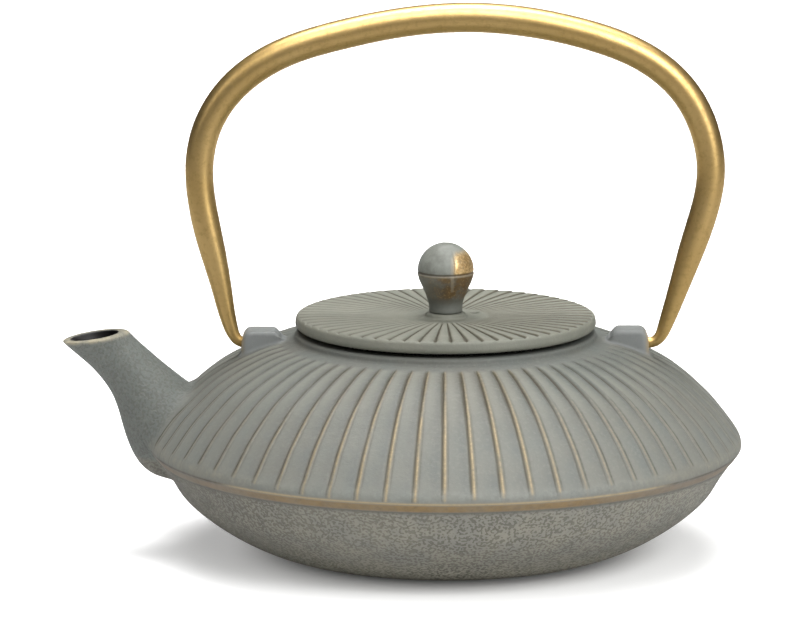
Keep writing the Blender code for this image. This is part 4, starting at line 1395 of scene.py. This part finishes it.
def perforated_disc(name, r_out, z_top, thick, pitch, hole):
    """Thin disc with round holes in rows set half a pitch apart."""
    pts, edges, polys = [], [], []
    m = 96
    ring = [(r_out * math.cos(TAU * i / m), r_out * math.sin(TAU * i / m)) for i in range(m)]
    pts += ring
    edges += [(i, (i + 1) % m) for i in range(m)]
    n = int(r_out / (pitch * 0.866)) + 1
    for j in range(-n, n + 1):
        y = j * pitch * 0.866
        for i in range(-n - 4, n + 5):
            x = (i + 0.5 * (j % 2)) * pitch
            if math.hypot(x, y) > r_out - 3.6:
                continue
            s = len(pts)
            o = [(x + hole / 2 * math.cos(TAU * (k + 0.5) / 8), y + hole / 2 * math.sin(TAU * (k + 0.5) / 8))
                 for k in range(8)]
            pts += o
            edges += [(s + k, s + (k + 1) % 8) for k in range(8)]
            polys.append((x, y, s))
    ov, oe, of, orig, _, _ = delaunay_2d_cdt([Vector(p) for p in pts], edges, [], 0, 1e-6)
    back = {}
    for new, olds in enumerate(orig):
        for o in olds:
            back[o] = new
    centres = np.array([(x, y) for x, y, _ in polys])
    ovn = np.array([tuple(v) for v in ov])
    tris = []
    fc = np.array([ovn[list(f)].mean(0) for f in of])
    keepf = np.ones(len(of), bool)
    for s in range(0, len(fc), 4000):
        d = np.linalg.norm(fc[s:s + 4000, None] - centres[None], axis=-1).min(1)
        keepf[s:s + 4000] = d > hole * 0.5 * 0.90
    for f, k in zip(of, keepf):
        if k:
            tris.append(tuple(f)[:3])
    sh = Shell()
    topv = sh.add(np.column_stack([ovn, np.full(len(ovn), z_top)]))
    botv = sh.add(np.column_stack([ovn, np.full(len(ovn), z_top - thick)]))
    t = np.array(tris)
    sh.faces.append(t)
    sh.faces.append((t + len(ovn))[:, ::-1])
    loops = [[back[i] for i in range(m)]] + [[back[s + k] for k in range(8)] for _, _, s in polys]
    walls = []
    for lp in loops:
        for a, b_ in zip(lp, lp[1:] + lp[:1]):
            walls.append((a, b_, b_ + len(ovn), a + len(ovn)))
    sh.faces.append(np.array(walls))
    me = sh.mesh(name)
    b = bmesh.new()
    b.from_mesh(me)
    bmesh.ops.recalc_face_normals(b, faces=b.faces)
    print("DISC open edges", sum(1 for e in b.edges if len(e.link_faces) != 2))
    b.to_mesh(me)
    b.free()
    face_out(me)
    return new_object(name, me, 40)


def build_infuser():
    out = {}
    collar = [(34.6, 64.05), (34.75, 64.35), (35.05, 64.5), (36.5, 64.5), (37.9, 64.5), (38.15, 64.42), (38.3, 64.2),
              (38.15, 63.98), (37.9, 63.9), (35.9, 63.9), (35.45, 63.75), (35.2, 63.4), (35.2, 60.2), (35.35, 59.9),
              (35.2, 59.6), (35.2, 57.1), (35.1, 57.0), (34.7, 57.0), (34.6, 57.1), (34.6, 59.6), (34.72, 59.9),
              (34.6, 60.2)]
    out["collar"] = lathe("infuser_rim_flange", collar, 128)
    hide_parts("infuser_collar")
    wall = perforated_tube("infuser_mesh_tube", 34.3, 0.4, 17.3, 63.4, 150, 32, 0.86)
    out["wall"] = wall
    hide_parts("infuser_wall")
    ring = [(34.6, 21.4), (34.7, 21.5), (35.1, 21.5), (35.2, 21.4), (35.2, 16.4), (35.05, 15.9), (34.7, 15.55),
            (34.2, 15.5), (30.0, 15.5), (29.6, 15.6), (29.5, 15.8), (29.6, 16.0), (30.0, 16.1), (33.9, 16.1),
            (34.3, 16.2), (34.55, 16.5), (34.6, 16.9)]
    out["ring"] = lathe("infuser_bottom_ring", ring, 128)
    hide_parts("infuser_base_ring")
    floor_ = perforated_disc("infuser_mesh_floor", 34.0, 17.0, 0.4, 1.5, 0.86)
    out["floor"] = floor_
    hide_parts("infuser_floor")
    for o, s in ((out["collar"], "infuser_collar"), (wall, "infuser_wall"), (out["ring"], "infuser_ring"),
                 (floor_, "infuser_floor")):
        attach(o, "infuser")
    return out


infuser = build_infuser()

def bail_material():
    """Satin gold lacquer on steel, finely pebbled."""
    m = Nodes("bail_gold")
    big = m.noise(35.0, 3.0)
    fine = m.noise(650.0, 4.0, 0.65)
    c = m.mix(m.ramp(big, 0.3, 0.7), srgb(222, 189, 126), srgb(213, 179, 115))
    c = m.mix(m.ramp(fine, 0.45, 0.8, 0.0, 0.4), c, srgb(160, 126, 70))
    m.put(m.b.inputs["Base Color"], c)
    m.b.inputs["Metallic"].default_value = 1.0
    m.put(m.b.inputs["Roughness"], m.ramp(fine, 0.3, 0.7, 0.34, 0.44))
    m.put(m.b.inputs["Normal"], m.bump(fine, 0.25, 0.0002))
    return m.mat


bail_ob.data.materials.append(bail_material())


def knob_material():
    m = Nodes("knob_iron")
    big = m.noise(70.0, 4.0, 0.6)
    mid = m.noise(260.0, 4.0, 0.65)
    fine = m.noise(1500.0, 3.0, 0.6)
    sep = m.t.nodes.new("ShaderNodeSeparateXYZ")
    m.put(sep.inputs[0], m.obj)
    x, y, z = sep.outputs
    z = m.math('SUBTRACT', z, 0.083)
    paint = m.mix(m.ramp(mid, 0.35, 0.7), srgb(124, 127, 120), srgb(106, 108, 101))
    # right of the seam and above the crease the paint is worn right off
    right = m.ramp(x, 0.0016, 0.0034)
    upper = m.math('MULTIPLY', m.ramp(z, -0.0008, 0.0002), m.ramp(z, 0.0046, 0.0068, 1.0, 0.0))
    face = m.math('MULTIPLY', right, upper)
    face = m.math('MULTIPLY', face, m.ramp(mid, 0.25, 0.5, 0.65, 1.0))
    under = m.math('MULTIPLY', m.ramp(z, 0.0, -0.0012), m.ramp(z, -0.0104, -0.0080))
    side = m.ramp(x, -0.0065, 0.002, 0.25, 1.0)
    under = m.math('MULTIPLY', under, m.math('MULTIPLY', side, m.ramp(m.math('ADD', m.math('MULTIPLY', big, 0.6), m.math('MULTIPLY', mid, 0.6)), 0.45, 0.68, 0.45, 1.0)))
    seam_line = m.math('MULTIPLY', m.ramp(m.math('ABSOLUTE', m.math('SUBTRACT', x, 0.0019)), 0.00025, 0.0006, 1.0, 0.0), m.math('MULTIPLY', m.math('MULTIPLY', m.ramp(z, -0.0058, -0.0050), m.ramp(z, 0.0042, 0.0054, 1.0, 0.0)), m.ramp(y, 0.0, -0.001)))
    # painted shade in the crease under the ball's widest line
    waist_crease_shade = m.ramp(m.math('ABSOLUTE', m.math('SUBTRACT', z, -0.00020)), 0.00018, 0.00042, 1.0, 0.0)
    waist_pale = m.ramp(m.math('ABSOLUTE', m.math('ADD', z, 0.00085)), 0.00015, 0.00042, 1.0, 0.0)
    brown = m.mix(m.ramp(mid, 0.35, 0.65), srgb(84, 68, 44), srgb(112, 90, 58))
    c = m.mix(under, paint, brown)
    speck = m.math('MULTIPLY', m.ramp(fine, 0.52, 0.66), under)
    c = m.mix(m.math('MULTIPLY', speck, 0.4), c, srgb(170, 142, 94))
    c = m.mix(face, c, m.mix(m.ramp(fine, 0.4, 0.62), srgb(176, 144, 94), srgb(214, 184, 132)))
    c = m.mix(m.math('MULTIPLY', seam_line, 0.42), c, srgb(158, 150, 132))
    c = m.mix(m.math('MULTIPLY', waist_crease_shade, 0.7), c, srgb(62, 52, 38))
    c = m.mix(m.math('MULTIPLY', waist_pale, 0.4), c, srgb(146, 136, 116))
    # painted shade: the stem is darker under the ball
    c = m.mix(m.ramp(z, -0.0085, -0.0068, 0.8, 0.0), c, srgb(92, 94, 88))
    m.put(m.b.inputs["Base Color"], c)
    metal = m.math('MAXIMUM', m.math('MULTIPLY', face, 0.7), m.math('MULTIPLY', under, 0.5))
    m.put(m.b.inputs["Metallic"], metal)
    m.put(m.b.inputs["Roughness"], m.math('SUBTRACT', m.ramp(mid, 0.2, 0.8, 0.48, 0.62), m.math('MULTIPLY', face, 0.16)))
    n1 = m.bump(fine, 0.3, 0.0002)
    m.put(m.b.inputs["Normal"], m.bump(mid, 0.3, 0.0004, n1))
    return m.mat


knob_ob.data.materials.append(knob_material())


def steel(name, tint, rough, brushed=True, scale=(60.0, 60.0, 3.0)):
    m = Nodes(name)
    v = m.stretch(scale)
    line = m.noise(40.0, 3.0, 0.6, vec=v)
    blot = m.noise(60.0, 3.0)
    c = m.mix(m.ramp(line, 0.3, 0.7), tint, tuple(0.86 * t for t in tint))
    c = m.mix(m.ramp(blot, 0.5, 0.8, 0.0, 0.25), c, tuple(0.8 * t for t in tint))
    m.put(m.b.inputs["Base Color"], c)
    m.b.inputs["Metallic"].default_value = 1.0
    m.put(m.b.inputs["Roughness"], m.ramp(line, 0.3, 0.7, rough, rough + 0.12))
    m.put(m.b.inputs["Normal"], m.bump(line, 0.12, 0.0001))
    return m.mat


infuser["collar"].data.materials.append(steel("infuser_collar_steel", (0.62, 0.62, 0.60), 0.22))
infuser["wall"].data.materials.append(steel("infuser_wall_steel", (0.58, 0.58, 0.57), 0.3))
infuser["ring"].data.materials.append(steel("infuser_ring_steel", (0.62, 0.62, 0.60), 0.24))
infuser["floor"].data.materials.append(steel("infuser_floor_steel", (0.58, 0.58, 0.57), 0.3, scale=(50.0, 3.0, 50.0)))
washer_ob.data.materials.append(steel("washer_steel", (0.6, 0.6, 0.59), 0.28, scale=(50.0, 4.0, 50.0)))
screw_ob.data.materials.append(steel("screw_steel", (0.55, 0.55, 0.54), 0.3, scale=(50.0, 4.0, 50.0)))

# ================================================================ stage
sh = Shell()
ids = sh.add([(-6000, -4000, -0.02), (6000, -4000, -0.02), (6000, 8000, -0.02), (-6000, 8000, -0.02)])
sh.faces.append(ids.reshape(1, 4))
floor = new_object("floor", sh.mesh("floor"), None)
fm = Nodes("floor_paper_glow_painted_shadow")
rays = fm.t.nodes.new("ShaderNodeLightPath")
grey = fm.mix(fm.ramp(fm.noise(3.0), 0.3, 0.7), (0.80, 0.80, 0.80), (0.81, 0.81, 0.81))
# painted reflection: glossy rays see a darker grey floor than the camera does
fm.put(fm.b.inputs["Base Color"], fm.mix(rays.outputs["Is Glossy Ray"], grey, (0.30, 0.30, 0.30)))
fm.b.inputs["Roughness"].default_value = 0.9
fm.b.inputs["Specular IOR Level"].default_value = 0.05
# painted light: the floor glows though it is no lamp
fm.b.inputs["Emission Color"].default_value = (1.0, 1.0, 1.0, 1.0)
away_from_foot = fm.t.nodes.new("ShaderNodeVectorMath")
away_from_foot.operation = 'LENGTH'
fm.put(away_from_foot.inputs[0], fm.obj)
# painted contact shadow: the floor's glow fades out near the foot
glow_with_painted_shadow = fm.math('MULTIPLY', fm.ramp(away_from_foot.outputs["Value"], 0.040, 0.066), 0.33)
fm.put(fm.b.inputs["Emission Strength"], fm.math('MULTIPLY', fm.math('SUBTRACT', 1.0, rays.outputs["Is Glossy Ray"]), glow_with_painted_shadow))
floor.data.materials.append(fm.mat)

world = bpy.data.worlds.new("studio")
scene.world = world
world.use_nodes = True
wt = world.node_tree
wt.nodes.clear()
wo = wt.nodes.new("ShaderNodeOutputWorld")
bg = wt.nodes.new("ShaderNodeBackground")
tcw = wt.nodes.new("ShaderNodeTexCoord")
sepw = wt.nodes.new("ShaderNodeSeparateXYZ")
wt.links.new(tcw.outputs["Generated"], sepw.inputs[0])


def wmath(op, a, b=None):
    n = wt.nodes.new("ShaderNodeMath")
    n.operation = op
    for i, v in enumerate((a, b)):
        if isinstance(v, bpy.types.NodeSocket):
            wt.links.new(v, n.inputs[i])
        elif v is not None:
            n.inputs[i].default_value = v
    return n.outputs[0]


def wramp(x, lo, hi, a, b):
    n = wt.nodes.new("ShaderNodeMapRange")
    n.interpolation_type = 'SMOOTHSTEP'
    wt.links.new(x, n.inputs["Value"])
    for k, v in (("From Min", lo), ("From Max", hi), ("To Min", a), ("To Max", b)):
        n.inputs[k].default_value = v
    return n.outputs[0]


wx, wy, wz = sepw.outputs
# a dim room, lighter overhead and towards the front, darkest behind
overhead = wramp(wz, -0.05, 0.85, 0.10, 0.34)
ahead = wramp(wy, -0.5, 0.65, 1.0, 0.30)
side = wramp(wx, -0.9, 0.9, 0.65, 1.25)
wt.links.new(wmath('MULTIPLY', wmath('MULTIPLY', overhead, ahead), side), bg.inputs["Strength"])
bg.inputs["Color"].default_value = (1.0, 1.0, 1.0, 1.0)
wt.links.new(bg.outputs[0], wo.inputs[0])


def area(name, loc, aim, size, power, size_y=None, colour=(1, 1, 1)):
    l = bpy.data.lights.new(name, 'AREA')
    l.shape = 'RECTANGLE'
    l.size, l.size_y = size, size_y or size
    l.energy = power
    l.color = colour
    o = bpy.data.objects.new(name, l)
    scene.collection.objects.link(o)
    o.location = loc
    d = Vector(aim) - Vector(loc)
    o.rotation_euler = d.to_track_quat('-Z', 'Y').to_euler()
    return o


area("key_front_right", (0.95, -1.20, 1.20), (0, 0, 0.06), 1.0, 21.0, 0.8)
area("top_front", (-0.10, -0.90, 1.50), (0, 0, 0.03), 1.2, 15.0, 0.9)
area("soft_left", (-1.4, -0.75, 1.0), (0, 0, 0.1), 0.35, 1.6, 0.9)
area("low_right", (1.15, -1.15, 0.30), (0.03, 0, 0.03), 0.6, 3.2, 0.5)
backdrop = area("backdrop", (0.0, 0.75, 1.6), (0.0, 0.75, 0.0), 1.5, 18.0, 1.5)
backdrop.data.spread = math.radians(70)

scene.view_settings.view_transform = 'Standard'
scene.view_settings.look = 'None'
scene.view_settings.exposure = 0.0
scene.view_settings.gamma = 1.0

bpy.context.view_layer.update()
